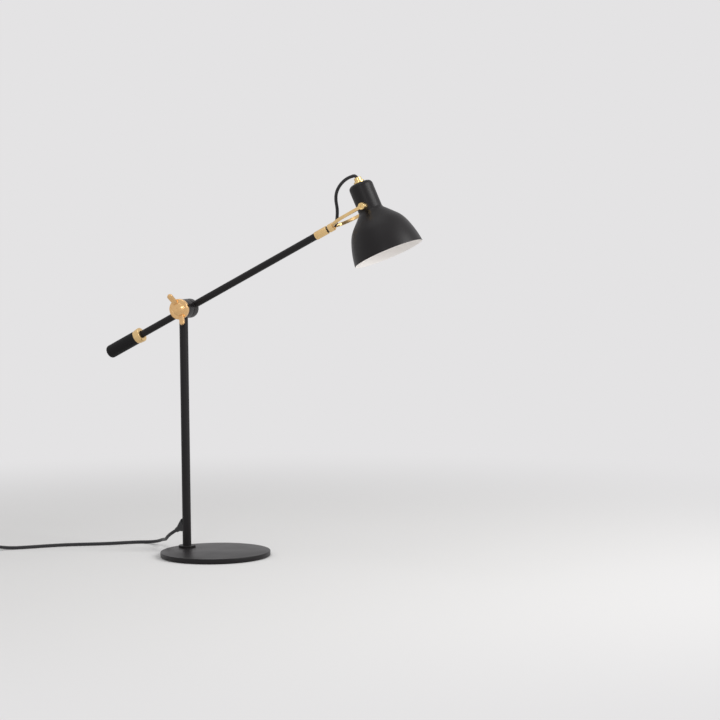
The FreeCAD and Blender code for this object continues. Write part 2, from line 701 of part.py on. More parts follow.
def ferrule():
    """Brass sleeve on the end of the arm; its end wall holds the fork's spindle."""
    start = X * FERRULE_START
    end = X * FERRULE_END
    wall = X * (FERRULE_END - FERRULE_WALL)
    body = rounded_rod(FERRULE_DIAMETER / 2, start, end, FERRULE_EDGE)
    body = body.cut(rod(ARM_RADIUS, start, start + X * FERRULE_GRIP))
    body = body.cut(rod(FERRULE_CAVITY_DIAMETER / 2, start + X * FERRULE_GRIP, wall))
    body = body.cut(rod(SPINDLE_DIAMETER / 2 + FIT, wall, end))
    groove = start + X * FERRULE_GROOVE_OUT
    cut_from = FERRULE_DIAMETER / 2 - FERRULE_GROOVE
    ring = tube(FERRULE_DIAMETER, cut_from, groove, groove + X * FERRULE_GROOVE_WIDTH)
    return on_arm(body.cut(ring))


def swivel_washer():
    """Black washer in the gap between the ferrule and the fork."""
    start = X * (FERRULE_END + SEAT)
    end = X * (FORK_START - SEAT)
    return on_arm(tube(SWIVEL_WASHER_DIAMETER / 2, SPINDLE_DIAMETER / 2 + FIT, start, end))


# ---------------------------------------------------------------- fork
def prong(side):
    """One flat prong, from inside the fork's root to its round eye."""
    half = PRONG_SPACING / 2
    points = [Vector(-PRONG_ROOT, side * PRONG_ROOT, 0),
              Vector(FORK_SHOULDER_OUT, side * FORK_SHOULDER, 0),
              Vector(FORK_FLARE_OUT, side * half, 0),
              Vector(FORK_REACH, side * half, 0)]
    edges = []
    at = points[0]
    for before, corner, after, radius in ((points[0], points[1], points[2], FORK_SHOULDER_BEND),
                                          (points[1], points[2], points[3], FORK_FLARE_BEND)):
        start, middle, end = corner_arc(before, corner, after, radius)
        edges += [line(at, start), arc(start, middle, end)]
        at = end
    edges.append(line(at, points[-1]))
    along = (points[1] - points[0]).normalize()
    across = along.cross(Z) * (PRONG_THICKNESS / 2)
    up = Z * (PRONG_HEIGHT / 2)
    base = points[0]
    section = Part.makePolygon([base + across + up, base - across + up, base - across - up,
                                base + across - up, base + across + up])
    strap = Part.Wire(edges).makePipeShell([section], True, False)
    inner = Vector(FORK_REACH, side * (half - PRONG_THICKNESS / 2), 0)
    outer = Vector(FORK_REACH, side * (half + PRONG_THICKNESS / 2), 0)
    return strap.fuse(rod(EYE_DIAMETER / 2, inner, outer))


def corner_arc(before, corner, after, radius):
    """Start, middle and end of an arc of a given radius that rounds a corner."""
    back = (before - corner).normalize()
    ahead = (after - corner).normalize()
    turn = math.pi - back.getAngle(ahead)
    reach = radius * math.tan(turn / 2)
    inward = (back + ahead).normalize()
    middle = corner + inward * (radius / math.cos(turn / 2) - radius)
    return corner + back * reach, middle, corner + ahead * reach


def fork():
    """Brass fork with its hollow spindle: root, two prongs and their eyes."""
    root = rounded_rod(FERRULE_DIAMETER / 2, X * -FORK_ROOT_LENGTH, ORIGIN, FORK_EDGE)
    body = root.fuse([prong(-1), prong(1)])
    back = -FORK_ROOT_LENGTH - SWIVEL_GAP - FERRULE_WALL - SEAT - SPINDLE_NUT_LENGTH - SPINDLE_PAST_NUT
    body = body.fuse(rod(SPINDLE_DIAMETER / 2, X * back, X * -FORK_ROOT_LENGTH))
    body = body.removeSplitter()
    body = body.cut(rod(LEAD_RADIUS, X * back, X * FORK_ROOT_LENGTH))
    wide = Vector(FORK_REACH, -PRONG_SPACING, 0)
    body = body.cut(rod(PIVOT_SCREW_DIAMETER / 2 + FIT, wide, wide + Y * (2 * PRONG_SPACING)))
    return on_arm(moved(body, X * FORK_CROTCH))


def moved(shape, by):
    placed = shape.copy()
    placed.translate(by)
    return placed


def swivel_nut():
    """Nut on the spindle, inside the ferrule."""
    end = X * (FERRULE_END - FERRULE_WALL - SEAT)
    start = end - X * SPINDLE_NUT_LENGTH
    return on_arm(tube(SPINDLE_NUT_DIAMETER / 2, SPINDLE_DIAMETER / 2, start, end))


# ---------------------------------------------------------------- shade
def bend_to(start, direction, end):
    """Middle and end direction of the arc that leaves start in a direction and meets end."""
    chord = end - start
    turn = 2 * signed_angle(direction, chord)
    half = chord.Length / 2
    sagitta = half * math.tan(turn / 4)
    side = Vector(-chord.z, 0, chord.x).normalize()
    middle = (start + end) * 0.5 - side * sagitta
    return middle, turned(direction, turn)


def signed_angle(first, second):
    """Angle from one direction to another in the XZ plane, from +X towards +Z."""
    return math.atan2(first.x * second.z - first.z * second.x, first.dot(second))


def turned(direction, angle):
    c = math.cos(angle)
    s = math.sin(angle)
    return Vector(c * direction.x - s * direction.z, 0, s * direction.x + c * direction.z)


def shade_stations():
    """Points down the outside of the shade with the directions there, arc by arc."""
    neck = NECK_DIAMETER / 2
    slope = math.radians(THROAT_SLOPE)
    top = Vector(neck - NECK_CORNER, 0, NECK_TOP)
    side = Vector(neck, 0, NECK_TOP - NECK_CORNER)
    low = Vector(neck, 0, -NECK_DROP)
    throat = low + Vector(THROAT_BEND * (1 - math.cos(slope)), 0, -THROAT_BEND * math.sin(slope))
    path = [(top, X), (side, -Z), (low, -Z)]
    path.append((throat, Vector(math.sin(slope), 0, -math.cos(slope))))
    for diameter, drop in ((BELL_UPPER_DIAMETER, BELL_UPPER_DROP),
                           (BELL_SHOULDER_DIAMETER, BELL_SHOULDER_DROP),
                           (RIM_DIAMETER, RIM_DROP)):
        start, direction = path[-1]
        point = Vector(diameter / 2, 0, -drop)
        path.append((point, bend_to(start, direction, point)[1]))
    return path


def shade_edges(depth):
    """Edges down the shade's wall at a depth under its outer face."""
    edges = []
    ends = []
    path = shade_stations()
    for (start, begin), (end, finish) in zip(path, path[1:]):
        a = start + under(begin) * depth
        b = end + under(finish) * depth
        if abs(signed_angle(begin, finish)) < 1e-6:
            edges.append(line(a, b))
        else:
            middle = bend_to(start, begin, end)[0] + under((end - start).normalize()) * depth
            edges.append(arc(a, middle, b))
        ends += [a, b]
    return edges, ends[0], ends[-1], finish


def under(direction):
    """Inward normal of the shade's outer face where its outline runs in a direction."""
    return Vector(direction.z, 0, -direction.x)


def shade():
    """Spun shell: a straight neck with a flat top, flaring to the rim."""
    outer, outer_top, outer_rim, down = shade_edges(0)
    inner, inner_top, inner_rim, down = shade_edges(SHADE_WALL)
    hole = NIPPLE_DIAMETER / 2 + FIT
    top = Vector(hole, 0, outer_top.z)
    under_top = Vector(hole, 0, inner_top.z)
    lip = (outer_rim + inner_rim) * 0.5 + down * (SHADE_WALL / 2)
    outline = [line(top, outer_top)] + outer + [arc(outer_rim, lip, inner_rim)]
    outline += inner[::-1] + [line(inner_top, under_top), line(under_top, top)]
    shell = revolve(Part.__sortEdges__(outline))
    bushes = rod(BUSH_STEM_DIAMETER / 2 + FIT, Y * -PRONG_SPACING, Y * PRONG_SPACING)
    return on_head(shell.cut(bushes))


def bush_end():
    return PRONG_SPACING / 2 - PRONG_THICKNESS / 2 - PIVOT_WASHER_THICKNESS - 2 * SEAT


def bush_nut_face():
    """Where the nut's edge meets the curved inside of the neck."""
    inside = NECK_DIAMETER / 2 - SHADE_WALL
    return math.sqrt(inside ** 2 - (BUSH_NUT_DIAMETER / 2) ** 2)


def mirrored(shape):
    """The shape and its mirror image on the other side of the arm's plane."""
    return Part.Compound([shape, shape.mirror(ORIGIN, Y)])


def spacer_bushes():
    """Barrels between the neck and the prongs, with stems through the neck's wall."""
    neck = NECK_DIAMETER / 2
    barrel = rod(BUSH_DIAMETER / 2, Y * (neck - BUSH_SADDLE), Y * bush_end())
    barrel = barrel.cut(rod(neck, Z * -NECK_TOP, Z * NECK_TOP))
    stem = rod(BUSH_STEM_DIAMETER / 2, Y * (bush_nut_face() - BUSH_NUT_THICKNESS), Y * bush_end())
    bush = barrel.fuse(stem).removeSplitter()
    bush = bush.cut(rod(PIVOT_SCREW_DIAMETER / 2, ORIGIN, Y * PRONG_SPACING))
    return on_head(mirrored(bush))


def bush_nuts():
    face = bush_nut_face()
    nut = tube(BUSH_NUT_DIAMETER / 2, BUSH_STEM_DIAMETER / 2, Y * (face - BUSH_NUT_THICKNESS), Y * face)
    return on_head(mirrored(nut))


def pivot_washers():
    start = bush_end() + SEAT
    end = start + PIVOT_WASHER_THICKNESS
    ring = tube(BUSH_DIAMETER / 2, PIVOT_SCREW_DIAMETER / 2 + FIT, Y * start, Y * end)
    return on_head(mirrored(ring))


def pivot_screws():
    """Round headed screws through the eyes into the bushes."""
    under_head = PRONG_SPACING / 2 + PRONG_THICKNESS / 2 + SEAT
    top = under_head + PIVOT_HEAD_HEIGHT
    head = rod(PIVOT_HEAD_DIAMETER / 2, Y * under_head, Y * top)
    outer = [e for e in head.Edges if e.Closed and e.BoundBox.YMin > top - 0.01]
    head = head.makeFillet(PIVOT_HEAD_ROUND, outer)
    shank = rod(PIVOT_SCREW_DIAMETER / 2, Y * (bush_nut_face() - PIVOT_SCREW_PAST), Y * under_head)
    screw = head.fuse(shank).removeSplitter()
    screw = screw.cut(hexagon(PIVOT_SOCKET, Y * top, -Y, PIVOT_SOCKET_DEPTH))
    return on_head(mirrored(screw))


# ---------------------------------------------------------------- gland and lampholder
GLAND_NUT_TOP = NECK_TOP + GLAND_NUT_HEIGHT
GLAND_TOP = GLAND_NUT_TOP + GLAND_CAP_HEIGHT
NIPPLE_TOP = GLAND_TOP - GLAND_GRIP
HOLDER_TOP = NECK_TOP - SHADE_WALL - LOCK_NUT_THICKNESS
HOLDER_END = HOLDER_TOP - HOLDER_LENGTH
BULB_CAP_END = HOLDER_END + SHELL_INSET
BULB_CAP_TOP = BULB_CAP_END + LAMP_SCREW_LENGTH
BULB_PIP_TOP = BULB_CAP_TOP + BULB_PIP_HEIGHT
HOLDER_FLOOR = BULB_PIP_TOP + CONTACT_THICKNESS + SLACK


def gland_nut():
    body = rounded_rod(GLAND_NUT_DIAMETER / 2, Z * NECK_TOP, Z * GLAND_NUT_TOP, GLAND_EDGE)
    return on_head(body.cut(rod(NIPPLE_DIAMETER / 2, Z * NECK_TOP, Z * GLAND_NUT_TOP)))


def cable_gland():
    """Cap that clamps the lead on the top of the nipple."""
    body = rod(GLAND_CAP_DIAMETER / 2, Z * GLAND_NUT_TOP, Z * GLAND_TOP)
    upper = [e for e in body.Edges if e.Closed and e.BoundBox.ZMin > GLAND_TOP - 0.01]
    body = body.makeFillet(GLAND_EDGE, upper)
    body = body.cut(rod(NIPPLE_DIAMETER / 2, Z * GLAND_NUT_TOP, Z * NIPPLE_TOP))
    return on_head(body.cut(rod(LEAD_RADIUS + FIT, Z * NIPPLE_TOP, Z * GLAND_TOP)))


def holder_nipple():
    start = Z * (NIPPLE_TOP - NIPPLE_LENGTH)
    return on_head(tube(NIPPLE_DIAMETER / 2, NIPPLE_BORE / 2, start, Z * NIPPLE_TOP))


def holder_lock_nut():
    top = Z * (NECK_TOP - SHADE_WALL)
    bottom = top - Z * LOCK_NUT_THICKNESS
    body = hexagon(LOCK_NUT_DIAMETER, bottom, Z, LOCK_NUT_THICKNESS)
    return on_head(body.cut(rod(NIPPLE_DIAMETER / 2, bottom, top)))


def lampholder_cap():
    """Domed upper half of the lampholder, screwed on the nipple."""
    top = Z * HOLDER_TOP
    bottom = top - Z * HOLDER_CAP_LENGTH
    body = rod(HOLDER_DIAMETER / 2, bottom, top)
    upper = [e for e in body.Edges if e.Closed and e.BoundBox.ZMin > HOLDER_TOP - 0.01]
    body = body.makeFillet(HOLDER_ROUND, upper)
    body = body.cut(rod(NIPPLE_DIAMETER / 2, bottom, top))
    hollow = rod(HOLDER_DIAMETER / 2 - HOLDER_WALL, bottom, top - Z * HOLDER_ROOF)
    return on_head(body.cut(hollow))


def lampholder_body():
    """Lower half, with the well for the lamp's screw."""
    shoulder = Z * (HOLDER_TOP - HOLDER_CAP_LENGTH)
    bottom = Z * HOLDER_END
    body = rod(HOLDER_DIAMETER / 2, bottom, shoulder)
    upper = rod(HOLDER_DIAMETER / 2 - HOLDER_WALL, shoulder, shoulder + Z * HOLDER_OVERLAP)
    body = body.fuse(upper).removeSplitter()
    well = lamp_screw_radius() + SHELL_WALL
    body = body.cut(rod(well, bottom, Z * HOLDER_FLOOR))
    wires = rod(NIPPLE_BORE / 4, Z * HOLDER_FLOOR, shoulder + Z * HOLDER_OVERLAP)
    return on_head(body.cut(moved(wires, X * (well / 2))).cut(moved(wires, X * (-well / 2))))


def lamp_screw_radius():
    """Inside radius of the holder's screw shell."""
    return LAMP_SCREW_DIAMETER / 2 + FIT


def holder_shell():
    """Screw shell that lines the well."""
    start = Z * (HOLDER_END + SHELL_INSET)
    end = start + Z * (SHELL_LENGTH - SHELL_INSET)
    return on_head(tube(lamp_screw_radius() + SHELL_WALL, lamp_screw_radius(), start, end))


def holder_contact():
    """Round contact on the floor of the well, with the boss that meets the lamp's tip."""
    floor = Z * HOLDER_FLOOR
    plate = rod(CONTACT_DIAMETER / 2, floor - Z * CONTACT_THICKNESS, floor)
    boss = rod(BULB_PIP_DIAMETER / 2, Z * BULB_PIP_TOP, floor)
    return on_head(plate.fuse(boss).removeSplitter())


def bulb_cap():
    """Screw cap of the lamp, with its insulated tip and the seat of the glass."""
    radius = LAMP_SCREW_DIAMETER / 2
    shoulder = Z * (BULB_CAP_TOP - BULB_CAP_TAPER)
    screw = rod(radius, Z * BULB_CAP_END, shoulder)
    taper = cone(shoulder, Z * BULB_CAP_TOP, radius, BULB_PIP_DIAMETER / 2 + 1)
    pip = rod(BULB_PIP_DIAMETER / 2, Z * BULB_CAP_TOP, Z * BULB_PIP_TOP)
    seat = rod(BULB_NECK_DIAMETER / 2, Z * (HOLDER_END - SEAT - BULB_SEAT_LENGTH), Z * (HOLDER_END - SEAT))
    stem = rod(radius, Z * (HOLDER_END - SEAT), Z * BULB_CAP_END)
    return on_head(screw.fuse([taper, pip, seat, stem]).removeSplitter())


def bulb_glass():
    """Round opal glass, open where it sits on the cap; straight sides meet the globe."""
    globe = BULB_DIAMETER / 2
    centre = Vector(0, 0, globe - BULB_DROP)
    top = Vector(BULB_NECK_DIAMETER / 2, 0, HOLDER_END - SEAT - BULB_SEAT_LENGTH)
    away = top - centre
    lean = math.acos(globe / away.Length)
    normal = turned(away.normalize(), -lean)
    tip = Vector(0, 0, -1)
    between = (normal + tip).normalize()
    inner = globe - BULB_GLASS_WALL
    step = normal * BULB_GLASS_WALL
    outline = [line(top, centre + normal * globe),
               arc(centre + normal * globe, centre + between * globe, centre + tip * globe),
               line(centre + tip * globe, centre + tip * inner),
               arc(centre + tip * inner, centre + between * inner, centre + normal * inner),
               line(centre + normal * inner, top - step),
               line(top - step, top)]
    return on_head(revolve(outline))


# ---------------------------------------------------------------- lead to the shade
# Points in the plane of the arm, along the arm and above it: the rise is measured from the
# fork's crotch, and the bend over the shade from the shade's pivot.
LEAD_RISE = ((3.9, 0.0), (10.0, 8.2), (16.9, 20.5), (20.6, 33.6), (27.2, 43.8))
LEAD_BEND = ((-26.0, 50.8), (-14.0, 53.6), (-5.0, 53.0))
LEAD_LOOP_TOP = 51.0         # shade's pivot to the last corner, along the shade's axis
LEAD_END = 41.0
LEAD_INSET = 4.0


def head_lead():
    """Lead from the fork's root, up and over into the gland on the shade."""
    lean = math.radians(SHADE_TILT - ARM_ELEVATION)
    axis = Vector(-math.sin(lean), 0, math.cos(lean))
    start = X * (FORK_CROTCH - LEAD_INSET)
    centre = X * PIVOT_OUT
    points = [start] + [X * (FORK_CROTCH + a) + Z * b for a, b in LEAD_RISE]
    points += [centre + Vector(a, 0, b) for a, b in LEAD_BEND]
    points += [centre + axis * LEAD_LOOP_TOP, centre + axis * LEAD_END]
    free = cord(points, LEAD_RADIUS, "head lead")
    back = FERRULE_END - FERRULE_WALL - SEAT - SPINDLE_NUT_LENGTH - SPINDLE_PAST_NUT
    held = rod(LEAD_RADIUS, X * back, start)
    return on_arm(free.fuse(held).removeSplitter())


# ---------------------------------------------------------------- mains cord
def heading(angle):
    return Vector(math.cos(math.radians(angle)), math.sin(math.radians(angle)), 0)


COIL_PITCH = CORD_DIAMETER + COIL_GAP
COIL_LIFT = TIE_THICKNESS + COIL_GAP
COIL_OUTER = COIL_DIAMETER / 2 - CORD_RADIUS
SWITCH_PORT = SWITCH_BASE_HEIGHT
SWITCH_START = Vector(POLE_X - 318.8, POLE_Y - 86.5, SWITCH_PORT)
SWITCH_HEADING = 203.0
SWITCH_END = SWITCH_START + heading(SWITCH_HEADING) * SWITCH_LENGTH
COIL_START = Vector(POLE_X - 408.8, POLE_Y - 125.5, COIL_LIFT + CORD_RADIUS)
COIL_HEADING = 205.0
PLUG_HEADING = 163.0

# Free route from the grip down behind the base and away to the left along the table, from the
# pole's axis.
FLOOR_ROUTE = ((-41.1, 16.3, 21.2), (-49.6, 26.1, 14.6), (-57.6, 37.7, 12.0), (-67.1, 48.7, 9.8),
               (-80.1, 57.2, 5.2), (-96.3, 61.0, 2.8), (-113.8, 56.5, 2.6), (-130.8, 44.0, 2.6),
               (-151.8, 26.5, 2.6), (-177.8, 11.5, 2.6), (-205.8, -2.5, 2.6), (-230.8, -21.5, 2.6),
               (-254.8, -45.5, 2.6), (-281.8, -67.5, 2.6))
RELIEF_RUN = 10.0
SWITCH_RUN = 10.0


def world_relief():
    """Tip and direction of the strain relief in the lamp's frame."""
    root, tip, along = relief_axis()
    turn = FreeCAD.Rotation(Z, -HUB_TURN)
    return turn.multVec(tip) + Vector(POLE_X, POLE_Y, 0), turn.multVec(along)


def cord_to_switch():
    tip, along = world_relief()
    points = [tip, tip + along * RELIEF_RUN]
    points += [Vector(POLE_X, POLE_Y, 0) + Vector(*point) for point in FLOOR_ROUTE]
    points += [SWITCH_START - heading(SWITCH_HEADING) * SWITCH_RUN, SWITCH_START]
    return cord(points, CORD_RADIUS, "cord to switch")


def cord_to_coil():
    first = SWITCH_END + heading(SWITCH_HEADING) * SWITCH_RUN
    last = COIL_START - heading(COIL_HEADING) * SWITCH_RUN
    return cord([SWITCH_END, first, last, COIL_START], CORD_RADIUS, "cord to coil")


def coil_end():
    """Where the top loop's straight tail ends."""
    rise = Z * (COIL_PITCH * (COIL_LAYERS - 1))
    return COIL_START + heading(COIL_HEADING) * (2 * CORD_DIAMETER) + rise


def plug_route():
    """From the coil's top loop down to the plug, with the plug's corner of the last run."""
    height = PLUG_THICKNESS / 2
    points = [coil_end()]
    for angle, run, level in ((COIL_HEADING, 11, coil_end().z), (197, 16, coil_end().z - 5),
                              (186, 18, height + 3), (173, 16, height), (PLUG_HEADING, 12, height)):
        ahead = points[-1] + heading(angle) * run
        points.append(Vector(ahead.x, ahead.y, level))
    return points


def cord_to_plug():
    return cord(plug_route(), CORD_RADIUS, "cord to plug")


def coil_radius(turns):
    """Distance from the coil's centre after so many turns: in, out, in and out."""
    inward = turns % (2 * COIL_LOOPS)
    if inward > COIL_LOOPS:
        inward = 2 * COIL_LOOPS - inward
    return COIL_OUTER - COIL_PITCH * inward


def coil_rise(turns):
    """Height above the first loop; each climb takes half a turn."""
    if turns < 0.5 or turns > COIL_LAYERS * COIL_LOOPS - 0.5:
        return COIL_PITCH * (COIL_LAYERS - 1) * (turns > 1)
    reversal = round(turns / COIL_LOOPS)
    ahead = turns - reversal * COIL_LOOPS
    part = min(1.0, max(0.0, ahead / 0.5 + 0.5))
    return COIL_PITCH * (reversal - 1 + part)


def coil_points():
    """Points of the loops at every quarter turn, clockwise, in the lamp's frame."""
    start = COIL_START + heading(COIL_HEADING) * CORD_DIAMETER
    centre = start + heading(COIL_HEADING - 90) * COIL_OUTER
    points = []
    for quarter in range(4 * COIL_LAYERS * COIL_LOOPS + 1):
        turns = quarter / 4
        spoke = heading(COIL_HEADING + 90 - 90 * quarter)
        points.append(centre + spoke * coil_radius(turns) + Z * coil_rise(turns))
    return points


def biarc(start, leaving, end, arriving):
    """Two arcs that join two points with given directions."""
    gap = end - start
    both = leaving + arriving
    lack = 2 * (1 - leaving.dot(arriving))
    across = gap.dot(both)
    reach = (math.sqrt(across ** 2 + lack * gap.dot(gap)) - across) / lack
    first = start + leaving * reach
    second = end - arriving * reach
    join = (first + second) * 0.5
    return [arc_along(start, leaving, join), arc_along(end, -arriving, join)]


def arc_along(start, direction, end):
    """The arc that leaves start in a direction and ends at end."""
    chord = end - start
    unit = chord * (1 / chord.Length)
    side = direction - unit * direction.dot(unit)
    turn = 2 * direction.getAngle(chord)
    middle = (start + end) * 0.5 + side.normalize() * (chord.Length / 2 * math.tan(turn / 4))
    return arc(start, middle, end)


def cord_coil():
    """The put-away length: loops that spiral in and out in layers, one unbroken tube."""
    points = coil_points()
    along = heading(COIL_HEADING)
    directions = [along]
    for before, after in zip(points, points[2:]):
        directions.append((after - before).normalize())
    directions.append(along)
    edges = [line(COIL_START, points[0])]
    for start, leaving, end, arriving in zip(points, directions, points[1:], directions[1:]):
        edges += biarc(start, leaving, end, arriving)
    edges.append(line(points[-1], coil_end()))
    wire = Part.Wire(Part.__sortEdges__(edges))
    print("coil length", round(wire.Length, 1), "least gap", round(own_gap(wire), 3))
    return swept(wire, CORD_RADIUS, "coil")


def own_gap(wire):
    """Least distance between the coil's surface and itself, on points 2 mm apart."""
    points = wire.discretize(Distance=2.0)
    apart = int(3 * CORD_DIAMETER / 2.0)
    least = COIL_DIAMETER
    for index, point in enumerate(points):
        for other in points[index + apart:]:
            least = min(least, point.distanceToPoint(other))
    return least - CORD_DIAMETER


def cord_tie():
    """Flat band round the loops, on the side away from the cord's ends."""
    inner = COIL_OUTER - COIL_PITCH * COIL_LOOPS - CORD_RADIUS - COIL_GAP
    outer = COIL_OUTER + CORD_RADIUS + COIL_GAP
    top = COIL_LIFT + CORD_DIAMETER + COIL_PITCH * (COIL_LAYERS - 1) + COIL_GAP
    half = TIE_WIDTH / 2
    wall = TIE_THICKNESS
    band = box(Vector(inner - wall, -half, 0), Vector(outer + wall, half, top + wall))
    band = band.makeFillet(wall * 1.5, [e for e in band.Edges if abs(e.tangentAt(0).y) > 0.9])
    band = band.cut(box(Vector(inner, -half, wall), Vector(outer, half, top)))
    start = COIL_START + heading(COIL_HEADING) * CORD_DIAMETER
    centre = start + heading(COIL_HEADING - 90) * COIL_OUTER
    band.rotate(ORIGIN, Z, COIL_HEADING - 90)
    return moved(band, Vector(centre.x, centre.y, 0))


# ---------------------------------------------------------------- switch
def at_switch(shape):
    """From the switch's frame, cord along X and table at Z = 0, to the lamp's."""
    placed = shape.copy()
    placed.rotate(ORIGIN, Z, SWITCH_HEADING)
    middle = (SWITCH_START + SWITCH_END) * 0.5
    return moved(placed, Vector(middle.x, middle.y, 0))


def switch_shell(low, high, edge_at):
    """Half of the switch's case: a rounded block with one rounded rim."""
    half = Vector(SWITCH_LENGTH / 2, SWITCH_WIDTH / 2, 0)
    block = box(Z * low - half, Z * high + half)
    block = block.makeFillet(SWITCH_CORNER, [e for e in block.Edges if abs(e.tangentAt(0).z) > 0.9])
    rim = [e for e in block.Edges if abs(e.BoundBox.ZMin - edge_at) + abs(e.BoundBox.ZMax - edge_at) < 0.01]
    return block.makeFillet(SWITCH_EDGE, rim)


def switch_hollow(low, high):
    half = Vector(SWITCH_LENGTH / 2 - SWITCH_WALL, SWITCH_WIDTH / 2 - SWITCH_WALL, 0)
    return box(Z * low - half, Z * high + half)


def switch_base():
    shell = switch_shell(0, SWITCH_BASE_HEIGHT, 0)
    return at_switch(shell.cut(switch_hollow(SWITCH_WALL, SWITCH_BASE_HEIGHT)))


def switch_top_height():
    return SWITCH_BASE_HEIGHT + SWITCH_COVER_HEIGHT


def rocker_axis_height():
    return switch_top_height() - ROCKER_PIN_DROP


def switch_cover():
    """Upper half, with the rocker's opening and the lugs of its pin."""
    top = switch_top_height()
    shell = switch_shell(SWITCH_BASE_HEIGHT, top, top)
    shell = shell.cut(switch_hollow(SWITCH_BASE_HEIGHT, top - SWITCH_WALL))
    inside = ROCKER_WIDTH / 2 + SLACK
    for side in (-1, 1):
        lug = box(Vector(-ROCKER_LUG * 1.5, inside, rocker_axis_height() - ROCKER_LUG * 1.5),
                  Vector(ROCKER_LUG * 1.5, inside + ROCKER_LUG, top - SWITCH_WALL))
        shell = shell.fuse(lug if side > 0 else lug.mirror(ORIGIN, Y))
    half = Vector(ROCKER_LENGTH / 2 + SLACK, inside, 0)
    shell = shell.removeSplitter().cut(box(Z * (top - SWITCH_WALL) - half, Z * top + half))
    reach = inside + ROCKER_LUG
    axis = Z * rocker_axis_height()
    hole = rod(ROCKER_PIN_DIAMETER / 2 + FIT, axis - Y * reach, axis + Y * reach)
    return at_switch(shell.cut(hole))


def switch_rocker():
    """Rocker with round ends about its pin, tipped to its off side."""
    radius = ROCKER_LENGTH / 2
    half = ROCKER_WIDTH / 2
    body = rod(radius, Y * -half, Y * half)
    low = ROCKER_PIN_DROP + ROCKER_PROUD - ROCKER_DEPTH
    slab = box(Vector(-radius, -half, low), Vector(radius, half, ROCKER_PIN_DROP + ROCKER_PROUD))
    body = body.common(slab)
    reach = half + SLACK + ROCKER_LUG
    body = body.fuse(rod(ROCKER_PIN_DIAMETER / 2, Y * -reach, Y * reach)).removeSplitter()
    body.rotate(ORIGIN, Y, ROCKER_TILT)
    return at_switch(moved(body, Z * rocker_axis_height()))


# ---------------------------------------------------------------- plug
def at_plug(shape):
    """From the plug's frame, cord at the origin and pins along +X, to the lamp's."""
    placed = shape.copy()
    placed.rotate(ORIGIN, Z, PLUG_HEADING)
    return moved(placed, plug_route()[-1])


def plug_body():
    """Flat two-pin plug with a tapered tail."""
    tail = PLUG_NOSE
    front = tail + PLUG_LENGTH
    half = PLUG_WIDTH / 2
    narrow = PLUG_TAIL_DIAMETER / 2 + 1
    low = -PLUG_THICKNESS / 2
    corners = [(tail, -narrow), (tail + PLUG_SHOULDER, -half), (front - PLUG_LIP, -half),
               (front, -PLUG_FACE / 2), (front, PLUG_FACE / 2), (front - PLUG_LIP, half),
               (tail + PLUG_SHOULDER, half), (tail, narrow)]
    points = [Vector(x, y, low) for x, y in corners]
    body = Part.Face(Part.makePolygon(points + points[:1])).extrude(Z * PLUG_THICKNESS)
    body = body.makeFillet(PLUG_EDGE, body.Edges)
    grip = cone(ORIGIN, X * (tail + PLUG_EDGE), PLUG_TAIL_DIAMETER / 2 - 1, PLUG_TAIL_DIAMETER / 2)
    return at_plug(body.fuse(grip).removeSplitter())


def plug_pins():
    """Two round pins."""
    front = PLUG_NOSE + PLUG_LENGTH
    pins = []
    for side in (-1, 1):
        start = Vector(front, side * PLUG_PIN_SPACING / 2, 0)
        pin = rod(PLUG_PIN_DIAMETER / 2, start, start + X * PLUG_PIN_LENGTH)
        tip = [e for e in pin.Edges if e.Closed and e.BoundBox.XMin > front + PLUG_PIN_LENGTH - 0.01]
        pins.append(pin.makeFillet(PLUG_PIN_DIAMETER / 4, tip))
    return at_plug(Part.Compound(pins))


# ---------------------------------------------------------------- output
NODES = (base_disc, base_pad, base_washer, base_bolt, foot_plug, foot_collar, pole_tube, strain_relief,
         pole_spigot, pole_cable, pole_block, hub_set_screw, friction_washer, arm_block, arm_set_screws,
         pivot_stud, spring_washer, wing_knob, arm_tube, arm_cable, weight_rod, weight_collar,
         counterweight, ferrule, swivel_washer, fork, swivel_nut, head_lead, shade, spacer_bushes,
         bush_nuts, pivot_washers, pivot_screws, gland_nut, cable_gland, holder_nipple, holder_lock_nut,
         lampholder_cap, lampholder_body, holder_shell, holder_contact, bulb_cap, bulb_glass,
         cord_to_switch, switch_base, switch_cover, switch_rocker, cord_to_coil, cord_coil, cord_tie,
         cord_to_plug, plug_body, plug_pins)

os.makedirs("parts", exist_ok=True)
for make in NODES:
    shape = make()
    state = "valid" if shape.isValid() else "NOT VALID"
    print(make.__name__, len(shape.Solids), state, round(shape.Volume, 1))
    shape.exportStep("parts/" + make.__name__ + ".step")
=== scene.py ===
# %% [markdown]
# # A counterweight balance desk lamp
# The lamp is a heavy round foot, an upright tube, a hub with a brass wing knob, an arm with a
# counterweight, and a small metal shade held in a brass fork.  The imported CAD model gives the
# places and the bodies; this file gives each piece its finished form and its real surface.

# %% Load the frame
import math

import bpy
from mathutils import Matrix, Vector


